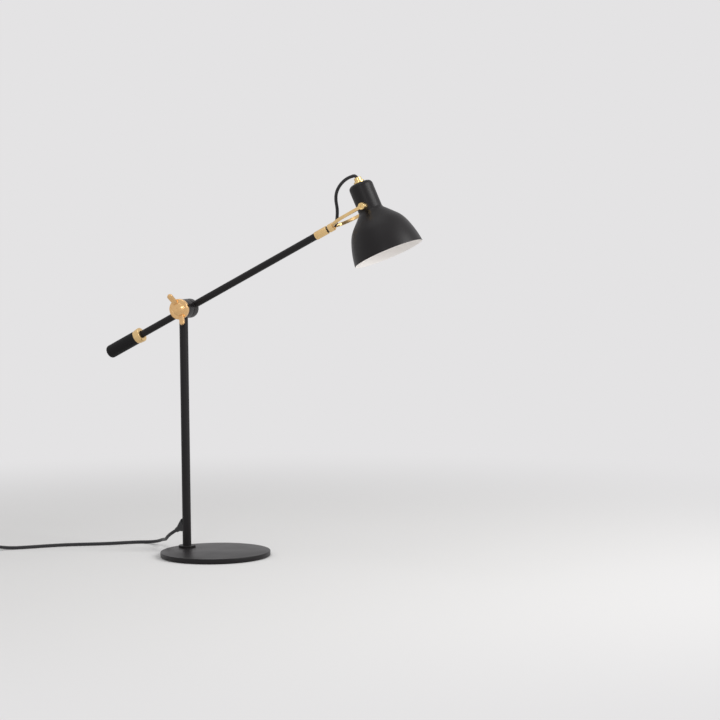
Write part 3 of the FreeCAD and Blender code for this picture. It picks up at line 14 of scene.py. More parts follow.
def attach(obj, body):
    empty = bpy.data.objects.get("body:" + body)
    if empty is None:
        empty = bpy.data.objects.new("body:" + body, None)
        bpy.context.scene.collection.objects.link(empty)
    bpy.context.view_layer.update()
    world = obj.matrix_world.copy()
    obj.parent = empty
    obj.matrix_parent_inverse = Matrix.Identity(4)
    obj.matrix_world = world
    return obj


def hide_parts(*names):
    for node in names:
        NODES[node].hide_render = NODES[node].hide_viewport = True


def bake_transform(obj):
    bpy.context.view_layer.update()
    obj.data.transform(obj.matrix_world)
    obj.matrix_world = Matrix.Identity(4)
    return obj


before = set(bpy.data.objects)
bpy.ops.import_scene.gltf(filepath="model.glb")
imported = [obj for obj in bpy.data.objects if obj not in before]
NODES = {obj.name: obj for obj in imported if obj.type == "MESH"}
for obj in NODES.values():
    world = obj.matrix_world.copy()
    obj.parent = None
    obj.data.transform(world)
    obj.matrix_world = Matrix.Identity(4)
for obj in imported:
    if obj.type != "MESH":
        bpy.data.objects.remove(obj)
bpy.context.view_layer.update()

MM = 0.001
print("nodes in the frame:", len(NODES))

# %% [markdown]
# ## Where things stand
# Sizes are in millimetres, as on the drawing.  The arm slopes up by 27.1 degrees from the hub,
# and the shade leans out by 23.45 degrees about the pin in the fork's eyes.

# %% Named places
BASE_TOP = 8.0
HUB_HEIGHT = 381.0
ARM_SLOPE = 27.1
SHADE_LEAN = 23.45
ARM_OUT = 16.1                  # hub centre to the arm's line, away from the knob
PIN_OUT = 342.2                 # hub axis to the shade's pin, along the arm
POLE_HEADING = 160              # from the middle of the foot to the pole
POLE_OUT = 63.0


def heading(angle):
    """A level direction, so many degrees round from +X."""
    return Vector((math.cos(math.radians(angle)), math.sin(math.radians(angle)), 0))


POLE = heading(POLE_HEADING) * POLE_OUT
HUB = POLE + Vector((0, 0, HUB_HEIGHT))
ARM_START = HUB + Vector((0, ARM_OUT, 0))
ARM_LINE = Vector((math.cos(math.radians(ARM_SLOPE)), 0, math.sin(math.radians(ARM_SLOPE))))
ARM_UP = Vector((-ARM_LINE.z, 0, ARM_LINE.x))
PIN = ARM_START + ARM_LINE * PIN_OUT
NECK_UP = Vector((-math.sin(math.radians(SHADE_LEAN)), 0, math.cos(math.radians(SHADE_LEAN))))


def place(point, turn=0.0, axis="Y"):
    """A matrix that turns a piece about an axis and carries it to a point."""
    return Matrix.Translation(Vector(point) * MM) @ Matrix.Rotation(math.radians(turn), 4, axis)


UPRIGHT = place(POLE)
ALONG_ARM = place(ARM_START, 90 - ARM_SLOPE)      # a piece's own Z runs out along the arm
ALONG_HUB = place(HUB, -90, "X")                  # its Z runs away from the knob
ON_SHADE = place(PIN, -SHADE_LEAN)                # its Z runs up the shade's neck
print("pin of the shade at", [round(v, 1) for v in PIN])

# %% [markdown]
# ## The camera
# A long lens at about the height of the shade.  It stands to the right of the lamp, is turned
# 21.5 degrees back towards it and looks down a little; the last turn is its roll.

# %% Camera
CAMERA_SPOT = (1.44738, -3.05691, 0.52745)
CAMERA_TURN = 21.5
CAMERA_DOWN = 3.833
CAMERA_ROLL = -0.559
camera = bpy.data.objects.new("camera", bpy.data.cameras.new("camera"))
bpy.context.scene.collection.objects.link(camera)
camera.data.sensor_width = 36
camera.data.lens = 110
camera.data.clip_end = 60
camera.matrix_world = (Matrix.Translation(CAMERA_SPOT)
                       @ Matrix.Rotation(math.radians(CAMERA_TURN), 4, "Z")
                       @ Matrix.Rotation(math.radians(90 - CAMERA_DOWN), 4, "X")
                       @ Matrix.Rotation(math.radians(CAMERA_ROLL), 4, "Z"))
bpy.context.scene.camera = camera
print("camera looks along", [round(-v, 3) for v in camera.matrix_world.col[2][:3]])

# %% [markdown]
# ## Colours and nodes
# Colours are written as the eye sees them, in sRGB hex, and one function makes them linear.
# Another adds a node with its settings and its links, and the rest name what most finishes
# share: noise of a real size, a mix of two colours, a range of gloss and a relief.


# %% Colour and node helpers
def colour(code, times=1.0):
    """Linear RGBA from an sRGB hex value such as "#1b1a1b", made lighter or darker."""
    parts = [int(code[i:i + 2], 16) / 255 for i in (1, 3, 5)]
    linear = [c / 12.92 if c <= 0.04045 else ((c + 0.055) / 1.055) ** 2.4 for c in parts]
    return [min(1.0, c * times) for c in linear] + [1.0]


def add(tree, kind, sockets=None, **settings):
    """A new node: settings are its own, sockets are values or outputs to link in."""
    made = tree.nodes.new(kind)
    for name, value in settings.items():
        setattr(made, name, value)
    for name, value in (sockets or {}).items():
        if isinstance(value, bpy.types.NodeSocket):
            tree.links.new(value, made.inputs[name])
        else:
            made.inputs[name].default_value = value
    return made


def new_material(name, **shader):
    """A named surface: its tree, its shader, and object coordinates in metres."""
    material = bpy.data.materials.new(name)
    material.use_nodes = True
    tree = material.node_tree
    surface = tree.nodes["Principled BSDF"]
    for socket, value in shader.items():
        surface.inputs[socket.replace("_", " ")].default_value = value
    where = add(tree, "ShaderNodeTexCoord").outputs["Object"]
    return material, tree, surface, where


def per_mm(size):
    """Texture scale that makes one cell so many millimetres wide."""
    return 1 / (size * MM)


def noise(tree, where, size_mm, detail):
    """Noise whose cells are about so many millimetres wide."""
    return add(tree, "ShaderNodeTexNoise", {"Vector": where, "Scale": per_mm(size_mm),
                                            "Detail": detail}).outputs["Fac"]


def between(tree, first, second, share):
    """A colour that runs from one to another."""
    return add(tree, "ShaderNodeMix", {6: first, 7: second, 0: share},
               data_type="RGBA").outputs[2]


def gloss_range(tree, share, low, high):
    """Roughness that wanders between two values as a noise does."""
    return add(tree, "ShaderNodeMapRange", {"Value": share, "From Min": 0.3, "From Max": 0.7,
                                            "To Min": low, "To Max": high}).outputs["Result"]


def relief(tree, height, strength, depth_mm):
    """A bump so many millimetres deep."""
    return add(tree, "ShaderNodeBump", {"Height": height, "Strength": strength,
                                        "Distance": depth_mm * MM}).outputs["Normal"]


def dress(tree, surface, **outputs):
    """Links outputs to the shader's inputs of the same names."""
    for socket, value in outputs.items():
        tree.links.new(value, surface.inputs[socket.replace("_", " ")])


# %% [markdown]
# ## Powder coat
# The tubes, the base, the hub and the outside of the shade are steel with a satin black
# polyester powder coat.  Baked powder flows into a faint orange peel about a millimetre
# across, which softens the highlights; the coat is a warm black, never quite one gloss.


# %% Powder coat
GRIT_MM = 0.35
CLOUD_MM = 45


def powder_coat(name, code, gloss, peel_mm=1.1, depth_mm=0.012, index=1.33):
    """Baked powder: orange peel, fine grit and slow changes of gloss."""
    material, tree, surface, where = new_material(name, IOR=index)
    grit = noise(tree, where, GRIT_MM, 1.0)
    cloud = noise(tree, where, CLOUD_MM, 3.0)
    both = add(tree, "ShaderNodeMath", {0: noise(tree, where, peel_mm, 2.0), 1: grit})
    dress(tree, surface,
          Base_Color=between(tree, colour(code), colour(code, 1.4), grit),
          Roughness=gloss_range(tree, cloud, gloss - 0.03, gloss + 0.04),
          Normal=relief(tree, both.outputs[0], 0.6, depth_mm))
    return material


coat_black = powder_coat("powder_coat_satin_black", "#161415", 0.40, index=1.32)
coat_weight = powder_coat("powder_coat_matt_black", "#0f0e0f", 0.58, 0.8, 0.02, 1.3)
enamel_white = powder_coat("enamel_warm_white", "#f7f0ea", 0.5, 1.6, 0.006, 1.5)

# %% [markdown]
# ## Brass
# The knob, the collar, the ferrule, the fork and the gland are turned brass under clear
# lacquer.  A lathe leaves fine rings; real ones are too close together to see, so they are
# drawn about a millimetre apart, enough to stretch a highlight across them.


# %% Lacquered brass
RING_SCALE = per_mm(0.5) / 6.283   # a wave texture of this scale repeats every millimetre
HAZE_MM = 6


def lacquered_brass(name, light, dark, gloss, centre, turn, axis):
    """Brass whose turning rings lie square to a line through a point."""
    material, tree, surface, where = new_material(name, Metallic=1.0)
    back = place(centre, turn, axis).inverted()
    own = add(tree, "ShaderNodeMapping",
              {"Vector": where, "Location": back.translation, "Rotation": back.to_euler()})
    rings = add(tree, "ShaderNodeTexWave",
                {"Vector": own.outputs["Vector"], "Scale": RING_SCALE, "Distortion": 0.6},
                wave_type="BANDS", bands_direction="Z")
    haze = noise(tree, where, HAZE_MM, 4.0)
    dress(tree, surface,
          Base_Color=between(tree, colour(light), colour(dark), haze),
          Roughness=gloss_range(tree, haze, gloss - 0.04, gloss + 0.06),
          Normal=relief(tree, rings.outputs["Fac"], 0.25, 0.01))
    return material


brass_knob = lacquered_brass("brass_lacquered_knob", "#eec791", "#d9ab73", 0.24,
                             HUB, -90, "X")
brass_arm = lacquered_brass("brass_lacquered_arm", "#efcf98", "#dab57c", 0.28,
                            ARM_START, 90 - ARM_SLOPE, "Y")
brass_shade = lacquered_brass("brass_lacquered_shade", "#f0d395", "#dcb97e", 0.28,
                              PIN, -SHADE_LEAN, "Y")

# %% [markdown]
# ## Small finishes
# Moulded plastic has a spark-eroded grain of a quarter of a millimetre, felt is a tangle
# of fibres, and nickel and zinc plate differ in gloss and tint.  One recipe serves them all:
# a grain in the colour and the relief, and a slow change of gloss.


# %% Plastics, felt, fibre, rubber, glass and plated steel
GRAINS_TO_A_PATCH = 30


def grained(name, code, gloss, grain_mm, depth_mm, metal=0.0, spread=1.3):
    """A plain finish with a grain in its colour, its gloss and its relief."""
    material, tree, surface, where = new_material(name, Metallic=metal)
    grain = noise(tree, where, grain_mm, 3.0)
    patch = noise(tree, where, grain_mm * GRAINS_TO_A_PATCH, 2.0)
    dress(tree, surface,
          Base_Color=between(tree, colour(code), colour(code, spread), grain),
          Roughness=gloss_range(tree, patch, gloss - 0.05, gloss + 0.05),
          Normal=relief(tree, grain, 0.5, depth_mm))
    return material


moulded_black = grained("polypropylene_moulded_black", "#18181a", 0.48, 0.25, 0.02)
nylon_black = grained("nylon_black", "#121213", 0.4, 0.3, 0.01)
felt_black = grained("wool_felt_black", "#232225", 0.9, 0.3, 0.15, spread=1.9)
fibre_brown = grained("vulcanised_fibre", "#3a2a22", 0.6, 0.3, 0.02)
sheath_black = grained("cable_sheath_rubber", "#202022", 0.55, 0.4, 0.01)
thermoset_pale = grained("thermoset_pale", "#d9d6cd", 0.35, 0.5, 0.01, spread=1.05)
zinc_plate = grained("zinc_plated_steel", "#a9abae", 0.32, 0.15, 0.004, metal=1.0, spread=1.1)
nickel_plate = grained("nickel_plate", "#c9c3b8", 0.18, 0.2, 0.002, metal=1.0, spread=1.05)
opal_glass = grained("opal_glass", "#f4f1ea", 0.16, 1.2, 0.002, spread=1.02)
SLOT_FINISH = {"satin_black": coat_black, "matt_black": coat_weight, "brass": brass_arm,
               "plated_steel": zinc_plate, "felt": felt_black, "black_plastic": moulded_black,
               "black_nylon": nylon_black, "fibre": fibre_brown, "cable_sheath": sheath_black,
               "holder_plastic": thermoset_pale, "nickel": nickel_plate, "opal_glass": opal_glass}

# %% [markdown]
# ## Braided textile
# The cords wear a tube of braided black yarn.  The strands cross at 64 degrees, and the
# pattern follows each cord's own UV map, in millimetres: U runs round the cord, V along it.


# %% Braid
STRAND_LEAN = 32
WAVE_REPEAT = 0.314             # of a wave texture of scale 1


def braid(name, code, light, strand_mm):
    """Two sets of strands that cross, with the fuzz of the yarn over them."""
    material, tree, surface, where = new_material(name, Roughness=0.85, Sheen_Weight=0.25,
                                                  Sheen_Roughness=0.5)
    flat = add(tree, "ShaderNodeUVMap", uv_map="braid").outputs["UV"]
    strands = []
    for lean in (STRAND_LEAN, -STRAND_LEAN):
        leaning = add(tree, "ShaderNodeMapping",
                      {"Vector": flat, "Rotation": (0, 0, math.radians(lean))})
        wave = add(tree, "ShaderNodeTexWave",
                   {"Vector": leaning.outputs["Vector"], "Scale": WAVE_REPEAT / strand_mm,
                    "Distortion": 0.4},
                   wave_type="BANDS", bands_direction="X")
        strands.append(wave.outputs["Fac"])
    weave = add(tree, "ShaderNodeMath", {0: strands[0], 1: strands[1]}, operation="MULTIPLY")
    fuzz = noise(tree, where, 0.3, 2.0)
    height = add(tree, "ShaderNodeMath", {0: weave.outputs[0], 1: fuzz}).outputs[0]
    dress(tree, surface,
          Base_Color=between(tree, colour(code), colour(light), height),
          Normal=relief(tree, height, 0.8, 0.12))
    return material


textile = braid("cotton_braid_black", "#0f0f10", "#29282b", 1.2)

# %% [markdown]
# ## Cords
# A cord is a fixed length of something flexible.  Its route is a NURBS spline through the air
# and along the table; the tube is skinned ring by ring over points read from that spline, so
# that the braid can follow it in real millimetres.


# %% Route to line, and line to tube
def spline_points(points):
    """Points along the smooth line of a route, in metres."""
    curve = bpy.data.curves.new("route", "CURVE")
    curve.dimensions = "3D"
    curve.resolution_u = 10
    spline = curve.splines.new("NURBS")
    spline.points.add(len(points) - 1)
    for control, point in zip(spline.points, points):
        control.co = [c * MM for c in point] + [1.0]
    spline.order_u = 3
    spline.use_endpoint_u = True
    holder = bpy.data.objects.new("route", curve)
    bpy.context.scene.collection.objects.link(holder)
    line = bpy.data.meshes.new_from_object(holder)
    found = [v.co.copy() for v in line.vertices]
    bpy.data.objects.remove(holder)
    bpy.data.meshes.remove(line)
    return found


def cord_tube(name, line, radius_mm, sides=20):
    """A closed tube over a line, with a UV map in millimetres called braid."""
    side = Vector((0, 0, 1))
    verts, faces, along = [], [], [0.0]
    for index, point in enumerate(line):
        ahead = (line[min(index + 1, len(line) - 1)] - line[max(index - 1, 0)]).normalized()
        side = side - ahead * side.dot(ahead)
        side = side.normalized() if side.length > 1e-6 else ahead.orthogonal().normalized()
        other = ahead.cross(side)
        if index:
            along.append(along[-1] + (point - line[index - 1]).length / MM)
        for k in range(sides):
            turn = 2 * math.pi * k / sides
            verts.append(point + (side * math.cos(turn) + other * math.sin(turn)) * radius_mm * MM)
    last = (len(line) - 1) * sides
    for start in range(0, last, sides):
        for k in range(sides):
            a, b = start + k, start + (k + 1) % sides
            faces.append((a, b, b + sides, a + sides))
    faces += [tuple(range(sides - 1, -1, -1)), tuple(range(last, last + sides))]
    mesh = bpy.data.meshes.new(name)
    mesh.from_pydata(verts, [], faces)
    layer = mesh.uv_layers.new(name="braid")
    pitch = 2 * math.pi * radius_mm / sides
    for face in mesh.polygons[:-2]:
        index, k = divmod(face.index, sides)
        corners = ((k, index), (k + 1, index), (k + 1, index + 1), (k, index + 1))
        for loop, (u, v) in zip(face.loop_indices, corners):
            layer.data[loop].uv = (u * pitch, along[v])
    mesh.shade_smooth()
    mesh.materials.append(textile)
    made = bpy.data.objects.new(name, mesh)
    bpy.context.scene.collection.objects.link(made)
    print(name, "is", round(along[-1]), "mm long")
    return made, along[-1] * MM


# %% [markdown]
# ### Mains cord
# It leaves the grip on the back of the pole, drops behind the base and runs off to the left
# in a loose curve.  Past the edge of the picture it meets its switch, and the rest of its 1.8
# metres lies there as a neat coil in four layers, held by a band, with the plug beside it.

# %% Mains cord to the switch
CORD_RADIUS = 2.6
LEAD_RADIUS = 2.5
GRIP_SLOPE = math.radians(27)
GRIP_HEIGHT = 41.0
GRIP_REACH = 23.5               # pole axis to the grip's tip
POLE_RADIUS = 6.75
BACK = heading(POLE_HEADING)
grip_line = BACK * math.cos(GRIP_SLOPE) - Vector((0, 0, math.sin(GRIP_SLOPE)))
grip_root = POLE + BACK * POLE_RADIUS + Vector((0, 0, GRIP_HEIGHT))
grip_tip = grip_root + grip_line * ((GRIP_REACH - POLE_RADIUS) / math.cos(GRIP_SLOPE))
SWITCH_HEADING = 203
SWITCH_LENGTH = 58
STRAIGHT = 10                   # of cord before each end that it enters
switch_start = POLE + Vector((-318.8, -86.5, 8))
switch_end = switch_start + heading(SWITCH_HEADING) * SWITCH_LENGTH
floor_route = [(-41.1, 16.3, 21.2), (-49.6, 26.1, 14.6), (-57.6, 37.7, 12.0), (-67.1, 48.7, 9.8),
               (-80.1, 57.2, 5.2), (-96.3, 61.0, 2.8), (-113.8, 56.5, 2.6), (-130.8, 44.0, 2.6),
               (-151.8, 26.5, 2.6), (-177.8, 11.5, 2.6), (-205.8, -2.5, 2.6), (-230.8, -21.5, 2.6),
               (-254.8, -45.5, 2.6), (-281.8, -67.5, 2.6)]
to_switch = [grip_tip, grip_tip + grip_line * STRAIGHT]
to_switch += [POLE + Vector(p) for p in floor_route]
to_switch += [switch_start - heading(SWITCH_HEADING) * STRAIGHT, switch_start]
front_line = spline_points(to_switch)
cord_front, front_length = cord_tube("mains_cord", front_line, CORD_RADIUS)
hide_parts("cord_to_switch")
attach(cord_front, "stand")

# %% [markdown]
# The coil spirals in and out, two loops to a layer, and climbs a layer in the half turn where
# it reverses.  Sixteen control points make one turn, set slightly wide because a spline of
# this order runs a little inside its points.

# %% Coil, and on to the plug
COIL_PITCH = 5.75
COIL_OUTER = 32.4
COIL_LOOPS = 2
COIL_LAYERS = 4
COIL_HEADING = 205
PER_TURN = 16
coil_start = POLE + Vector((-408.8, -125.5, 1.75 + CORD_RADIUS))
coil_centre = coil_start + heading(COIL_HEADING) * 5.2 + heading(COIL_HEADING - 90) * COIL_OUTER


def coil_point(turns):
    """A control point of the coil, so many turns from its start."""
    inward = turns % (2 * COIL_LOOPS)
    inward = min(inward, 2 * COIL_LOOPS - inward)
    reverse = round(turns / COIL_LOOPS)
    climb = min(1, max(0, (turns - reverse * COIL_LOOPS) / 0.5 + 0.5))
    rise = 0 if turns < 0.5 else COIL_PITCH * min(reverse - 1 + climb, COIL_LAYERS - 1)
    spoke = heading(COIL_HEADING + 90 - 360 * turns)
    wide = 1 / math.cos(math.pi / PER_TURN)
    return coil_centre + spoke * (COIL_OUTER - COIL_PITCH * inward) * wide + Vector((0, 0, rise))


rear_route = [switch_end, switch_end + heading(SWITCH_HEADING) * STRAIGHT,
              coil_start - heading(COIL_HEADING) * STRAIGHT, coil_start]
rear_route += [coil_point((k + 0.5) / PER_TURN)
               for k in range(PER_TURN * COIL_LOOPS * COIL_LAYERS)]
top_level = coil_start.z + COIL_PITCH * (COIL_LAYERS - 1)
spot = coil_start + heading(COIL_HEADING) * 10.4
# each step: a heading, a run and the height that it ends at, down off the coil to the plug
for angle, run, level in ((COIL_HEADING, 0, top_level), (COIL_HEADING, 11, top_level),
                          (197, 16, top_level - 5), (186, 18, 9.8), (173, 16, 6.8), (163, 12, 6.8)):
    spot = spot + heading(angle) * run
    spot.z = level
    rear_route.append(spot.copy())
rear_line = spline_points(rear_route)
cord_rear, rear_length = cord_tube("mains_cord_coil", rear_line, CORD_RADIUS)
print("whole mains cord:", round(front_length + rear_length, 3), "m")
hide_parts("cord_to_coil", "cord_coil", "cord_to_plug")
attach(cord_rear, "stand")

# %% [markdown]
# ### Lead to the shade
# A shorter lead leaves the middle of the fork, stands up in an S and turns down into the gland
# on the neck.  It bends where the shade tilts; its tube is drawn as it lies in this pose.

# %% Lead to the shade
FORK_REACH = 64.2               # crotch to the shade's pin
CROTCH = PIN - ARM_LINE * FORK_REACH
lead_rise = [(-4, 0), (3.9, 0), (10, 8.2), (16.9, 20.5), (20.6, 33.6), (27.2, 43.8)]
lead_bend = [(-26, 50.8), (-14, 53.6), (-5, 53)]
lead_route = [CROTCH + ARM_LINE * a + ARM_UP * b for a, b in lead_rise]
lead_route += [PIN + ARM_LINE * a + ARM_UP * b for a, b in lead_bend]
lead_route += [PIN + NECK_UP * 51, PIN + NECK_UP * 41]
lead_line = spline_points(lead_route)
lead, lead_length = cord_tube("shade_lead", lead_line, LEAD_RADIUS)
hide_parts("head_lead")
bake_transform(lead)

# %% [markdown]
# ## Turning on a lathe
# Most of the lamp is round about some axis, and so it is made as a turner makes it: half an
# outline is drawn beside the axis and spun about it.  The outline starts as one vertex, which
# is extruded from corner to corner; corners with a third number get an arc of that radius.


# %% Lathe helpers
def softened(corners, parts=6):
    """The outline with each corner that has a third number rounded to that radius."""
    points = []
    for index, corner in enumerate(corners):
        here = Vector(corner[:2])
        if len(corner) < 3:
            points.append(here)
            continue
        back = (Vector(corners[index - 1][:2]) - here).normalized()
        ahead = (Vector(corners[(index + 1) % len(corners)][:2]) - here).normalized()
        half = back.angle(ahead) / 2
        centre = here + (back + ahead).normalized() * (corner[2] / math.sin(half))
        first = here + back * (corner[2] / math.tan(half)) - centre
        last = here + ahead * (corner[2] / math.tan(half)) - centre
        swing = math.atan2(first.x * last.y - first.y * last.x, first.dot(last))
        for k in range(parts + 1):
            points.append(centre + turned(first, swing * k / parts))
    return points


def turned(arrow, angle):
    """A flat vector turned by an angle in radians."""
    c, s = math.cos(angle), math.sin(angle)
    return Vector((arrow.x * c - arrow.y * s, arrow.x * s + arrow.y * c))


def draw_line(name, points):
    """A row of joined vertices, left open in edit mode."""
    bpy.ops.object.select_all(action="DESELECT")
    bpy.ops.mesh.primitive_plane_add(size=MM, location=(0, 0, 0))
    made = bpy.context.object
    made.name = made.data.name = name
    bpy.ops.object.mode_set(mode="EDIT")
    bpy.ops.mesh.merge(type="CENTER")
    bpy.ops.transform.translate(value=Vector(points[0]) * MM)
    for here, there in zip(points, points[1:]):
        step = (Vector(there) - Vector(here)) * MM
        bpy.ops.mesh.extrude_vertices_move(TRANSFORM_OT_translate={"value": step})
    return made


def turn_on_lathe(name, outline, steps=96):
    """A solid turned about Z from (radius, height) points; a ring repeats its first point."""
    made = draw_line(name, [(point[0], 0, point[1]) for point in outline])
    bpy.ops.mesh.select_all(action="SELECT")
    bpy.ops.mesh.spin(steps=steps, angle=2 * math.pi, center=(0, 0, 0), axis=(0, 0, 1))
    bpy.ops.mesh.select_all(action="SELECT")
    bpy.ops.mesh.remove_doubles(threshold=0.002 * MM)
    bpy.ops.mesh.normals_make_consistent(inside=False)
    bpy.ops.object.mode_set(mode="OBJECT")
    return made


# %% [markdown]
# A finished piece is smoothed except at its sharp edges, put in its place with that place
# kept in its mesh, given its surface, and tied to the body that it moves with.


# %% Finishing helpers
def only(piece):
    """Makes one piece the selected and the active one."""
    bpy.ops.object.select_all(action="DESELECT")
    piece.select_set(True)
    bpy.context.view_layer.objects.active = piece


def settle(piece, where):
    """Carries a piece to its place and keeps the place in its mesh."""
    only(piece)
    piece.matrix_world = where
    bpy.ops.object.transform_apply(location=True, rotation=True, scale=True)


def apply_all(piece):
    """Applies a piece's modifiers in their order."""
    only(piece)
    for modifier in list(piece.modifiers):
        bpy.ops.object.modifier_apply(modifier=modifier.name)


def ease_edges(piece, width_mm, over=40, segments=3):
    """Rounds every edge that turns by more than an angle."""
    bevel = piece.modifiers.new("eased", "BEVEL")
    bevel.width = width_mm * MM
    bevel.segments = segments
    bevel.limit_method = "ANGLE"
    bevel.angle_limit = math.radians(over)
    apply_all(piece)


def drill(piece, start, end, radius_mm, sides=48):
    """Cuts a straight hole between two points; six sides make a hexagon socket."""
    line = Vector(end) - Vector(start)
    bpy.ops.object.select_all(action="DESELECT")
    bpy.ops.mesh.primitive_cylinder_add(vertices=sides, radius=radius_mm * MM,
                                        depth=line.length * MM)
    cutter = bpy.context.object
    middle = Matrix.Translation((Vector(start) + line / 2) * MM)
    cutter.matrix_world = middle @ line.to_track_quat("Z", "Y").to_matrix().to_4x4()
    cut = piece.modifiers.new("hole", "BOOLEAN")
    cut.object = cutter
    cut.solver = "EXACT"
    apply_all(piece)
    bpy.data.objects.remove(cutter)


def finish_piece(piece, surface, body, slot, *nodes, smooth=32):
    """Smooths a piece, gives it its surface and ties it to its body."""
    only(piece)
    bpy.ops.object.shade_smooth_by_angle(angle=math.radians(smooth))
    if not piece.data.materials:
        piece.data.materials.append(surface)
    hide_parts(*nodes)
    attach(piece, body)
    size = piece.dimensions / MM
    print(f"{piece.name}: {size.x:.1f} x {size.y:.1f} x {size.z:.1f} mm,",
          len(piece.data.polygons), "faces")
    return piece


# %% [markdown]
# ## Foot
# A steel disc seven millimetres thick keeps the lamp upright.  Its top edge is broken by a
# small radius that catches a line of light; under it a felt pad stands a little inside.

# %% Base, pad and foot collar
BASE_RADIUS = 85
PAD_RADIUS = 79
PAD_TOP = 1
RING_RADIUS = 13.25
RING_TOP = BASE_TOP + 3.2
base = turn_on_lathe("base", softened([
    (0, PAD_TOP), (BASE_RADIUS, PAD_TOP, 0.4), (BASE_RADIUS, BASE_TOP, 1.2), (0, BASE_TOP)]), 256)
finish_piece(base, coat_black, "stand", "satin_black", "base_disc")
pad = turn_on_lathe("felt_pad", softened([
    (0, 0), (PAD_RADIUS, 0, 0.3), (PAD_RADIUS, PAD_TOP), (0, PAD_TOP)]), 128)
finish_piece(pad, felt_black, "stand", "felt", "base_pad")
collar = turn_on_lathe("pole_foot_ring", softened([
    (POLE_RADIUS, BASE_TOP), (RING_RADIUS, BASE_TOP, 0.15), (RING_RADIUS, RING_TOP, 0.8),
    (POLE_RADIUS, RING_TOP), (POLE_RADIUS, BASE_TOP)]))
settle(collar, UPRIGHT)
finish_piece(collar, coat_black, "stand", "satin_black", "foot_collar")

# %% [markdown]
# ## Pole and cord grip
# The pole is a plain tube, cut square and deburred.  The grip is moulded: a cone with two
# flat sides that steps down to a round nose.  It is turned like the rest, and the flats are
# then cut with bisect, which also closes the cut with new faces.

# %% Pole
POLE_BORE = 5.5
POLE_TOP = 369.7
pole = turn_on_lathe("pole", softened([
    (POLE_BORE, BASE_TOP), (POLE_RADIUS, BASE_TOP), (POLE_RADIUS, POLE_TOP, 0.4),
    (POLE_BORE, POLE_TOP), (POLE_BORE, BASE_TOP)]), 96)
settle(pole, UPRIGHT)
finish_piece(pole, coat_black, "stand", "satin_black", "pole_tube")


# %% Cord grip
def cut_flat(piece, distance_mm):
    """Cuts both sides of a piece flat, so far from its middle along its own X."""
    only(piece)
    bpy.ops.object.mode_set(mode="EDIT")
    for side in (-1, 1):
        bpy.ops.mesh.select_all(action="SELECT")
        bpy.ops.mesh.bisect(plane_co=(side * distance_mm * MM, 0, 0), plane_no=(side, 0, 0),
                            use_fill=True, clear_outer=True)
    bpy.ops.object.mode_set(mode="OBJECT")


GRIP_HALF_WIDTH = 5.8
GRIP_LENGTH = (GRIP_REACH - POLE_RADIUS) / math.cos(GRIP_SLOPE)
grip_wide = turn_on_lathe("cord_grip", softened([(0, -4), (11.05, -4), (6, 9, 0.7), (0, 9)]), 64)
cut_flat(grip_wide, GRIP_HALF_WIDTH)
ease_edges(grip_wide, 0.6)
grip_nose = turn_on_lathe("grip_nose", softened([
    (0, 7), (5.2, 7), (5.05, 9.6), (4.55, 11.2, 0.5), (4.6, 12.4, 0.5), (4.1, 14, 0.5),
    (4.15, 15.2, 0.5), (3.7, GRIP_LENGTH, 0.6), (CORD_RADIUS, GRIP_LENGTH), (CORD_RADIUS, 17),
    (0, 17)]), 64)
only(grip_wide)
grip_nose.select_set(True)
bpy.ops.object.join()
across = BACK.cross(Vector((0, 0, 1))).normalized()
axes = Matrix((across, grip_line.cross(across), grip_line)).transposed().to_4x4()
settle(grip_wide, Matrix.Translation(grip_root * MM) @ axes)
grip = finish_piece(grip_wide, moulded_black, "stand", "black_plastic", "strain_relief")

# %% [markdown]
# ## Hub
# Two turned blocks with a brown fibre washer between them: the near one sits on the pole, the
# far one carries the arm and turns against it.  Small hexagon socket screws, sunk in drilled
# holes, hold the pole's pin and both rods.

# %% Hub blocks
HUB_RADIUS = 15.0
STUD_HOLE = 5.05                # radius
NEAR_START, NEAR_END = -10.8, 7.8
FIBRE_START, FIBRE_END, FIBRE_RADIUS = 7.85, 8.55, 13.5
FAR_START, FAR_END = 8.6, 23.6
SCREW_HOLE = 2.05               # radius
SCREW_DROP = 8.6                # hub axis down to the screw in the near block
near_block = turn_on_lathe("hub_near_block", softened([
    (STUD_HOLE, NEAR_START), (HUB_RADIUS, NEAR_START, 0.7), (HUB_RADIUS, NEAR_END, 0.7),
    (STUD_HOLE, NEAR_END), (STUD_HOLE, NEAR_START)]), 128)
settle(near_block, ALONG_HUB)
drill(near_block, HUB + Vector((-20, 0, -SCREW_DROP)), HUB + Vector((-4.5, 0, -SCREW_DROP)),
      SCREW_HOLE)
finish_piece(near_block, coat_black, "hub", "satin_black", "pole_block")
washer = turn_on_lathe("hub_fibre_washer", softened([
    (STUD_HOLE, FIBRE_START), (FIBRE_RADIUS, FIBRE_START, 0.15), (FIBRE_RADIUS, FIBRE_END, 0.15),
    (STUD_HOLE, FIBRE_END), (STUD_HOLE, FIBRE_START)]), 96)
settle(washer, ALONG_HUB)
finish_piece(washer, fibre_brown, "hub", "fibre", "friction_washer")
far_block = turn_on_lathe("hub_far_block", softened([
    (0, FAR_START), (HUB_RADIUS, FAR_START, 0.7), (HUB_RADIUS, FAR_END, 0.7), (0, FAR_END)]), 128)
settle(far_block, ALONG_HUB)
ARM_RADIUS = 5.5
for side in (-10, 10):
    seat = ARM_START + ARM_LINE * side
    drill(far_block, seat + Vector((0, 10, 0)), seat + Vector((0, 4, 0)), SCREW_HOLE)
    drill(far_block, ARM_START + ARM_LINE * (side * 2.5), ARM_START + ARM_LINE * (side * 0.6),
          ARM_RADIUS, 64)
finish_piece(far_block, coat_black, "arm", "satin_black", "arm_block")

# %% [markdown]
# ## Wing knob
# One turned body with a domed face, and two flat wings that lean out from it.  A wing is a
# disc whose lower half is pulled down, which leaves one end round, then extruded to its
# thickness and eased all round.

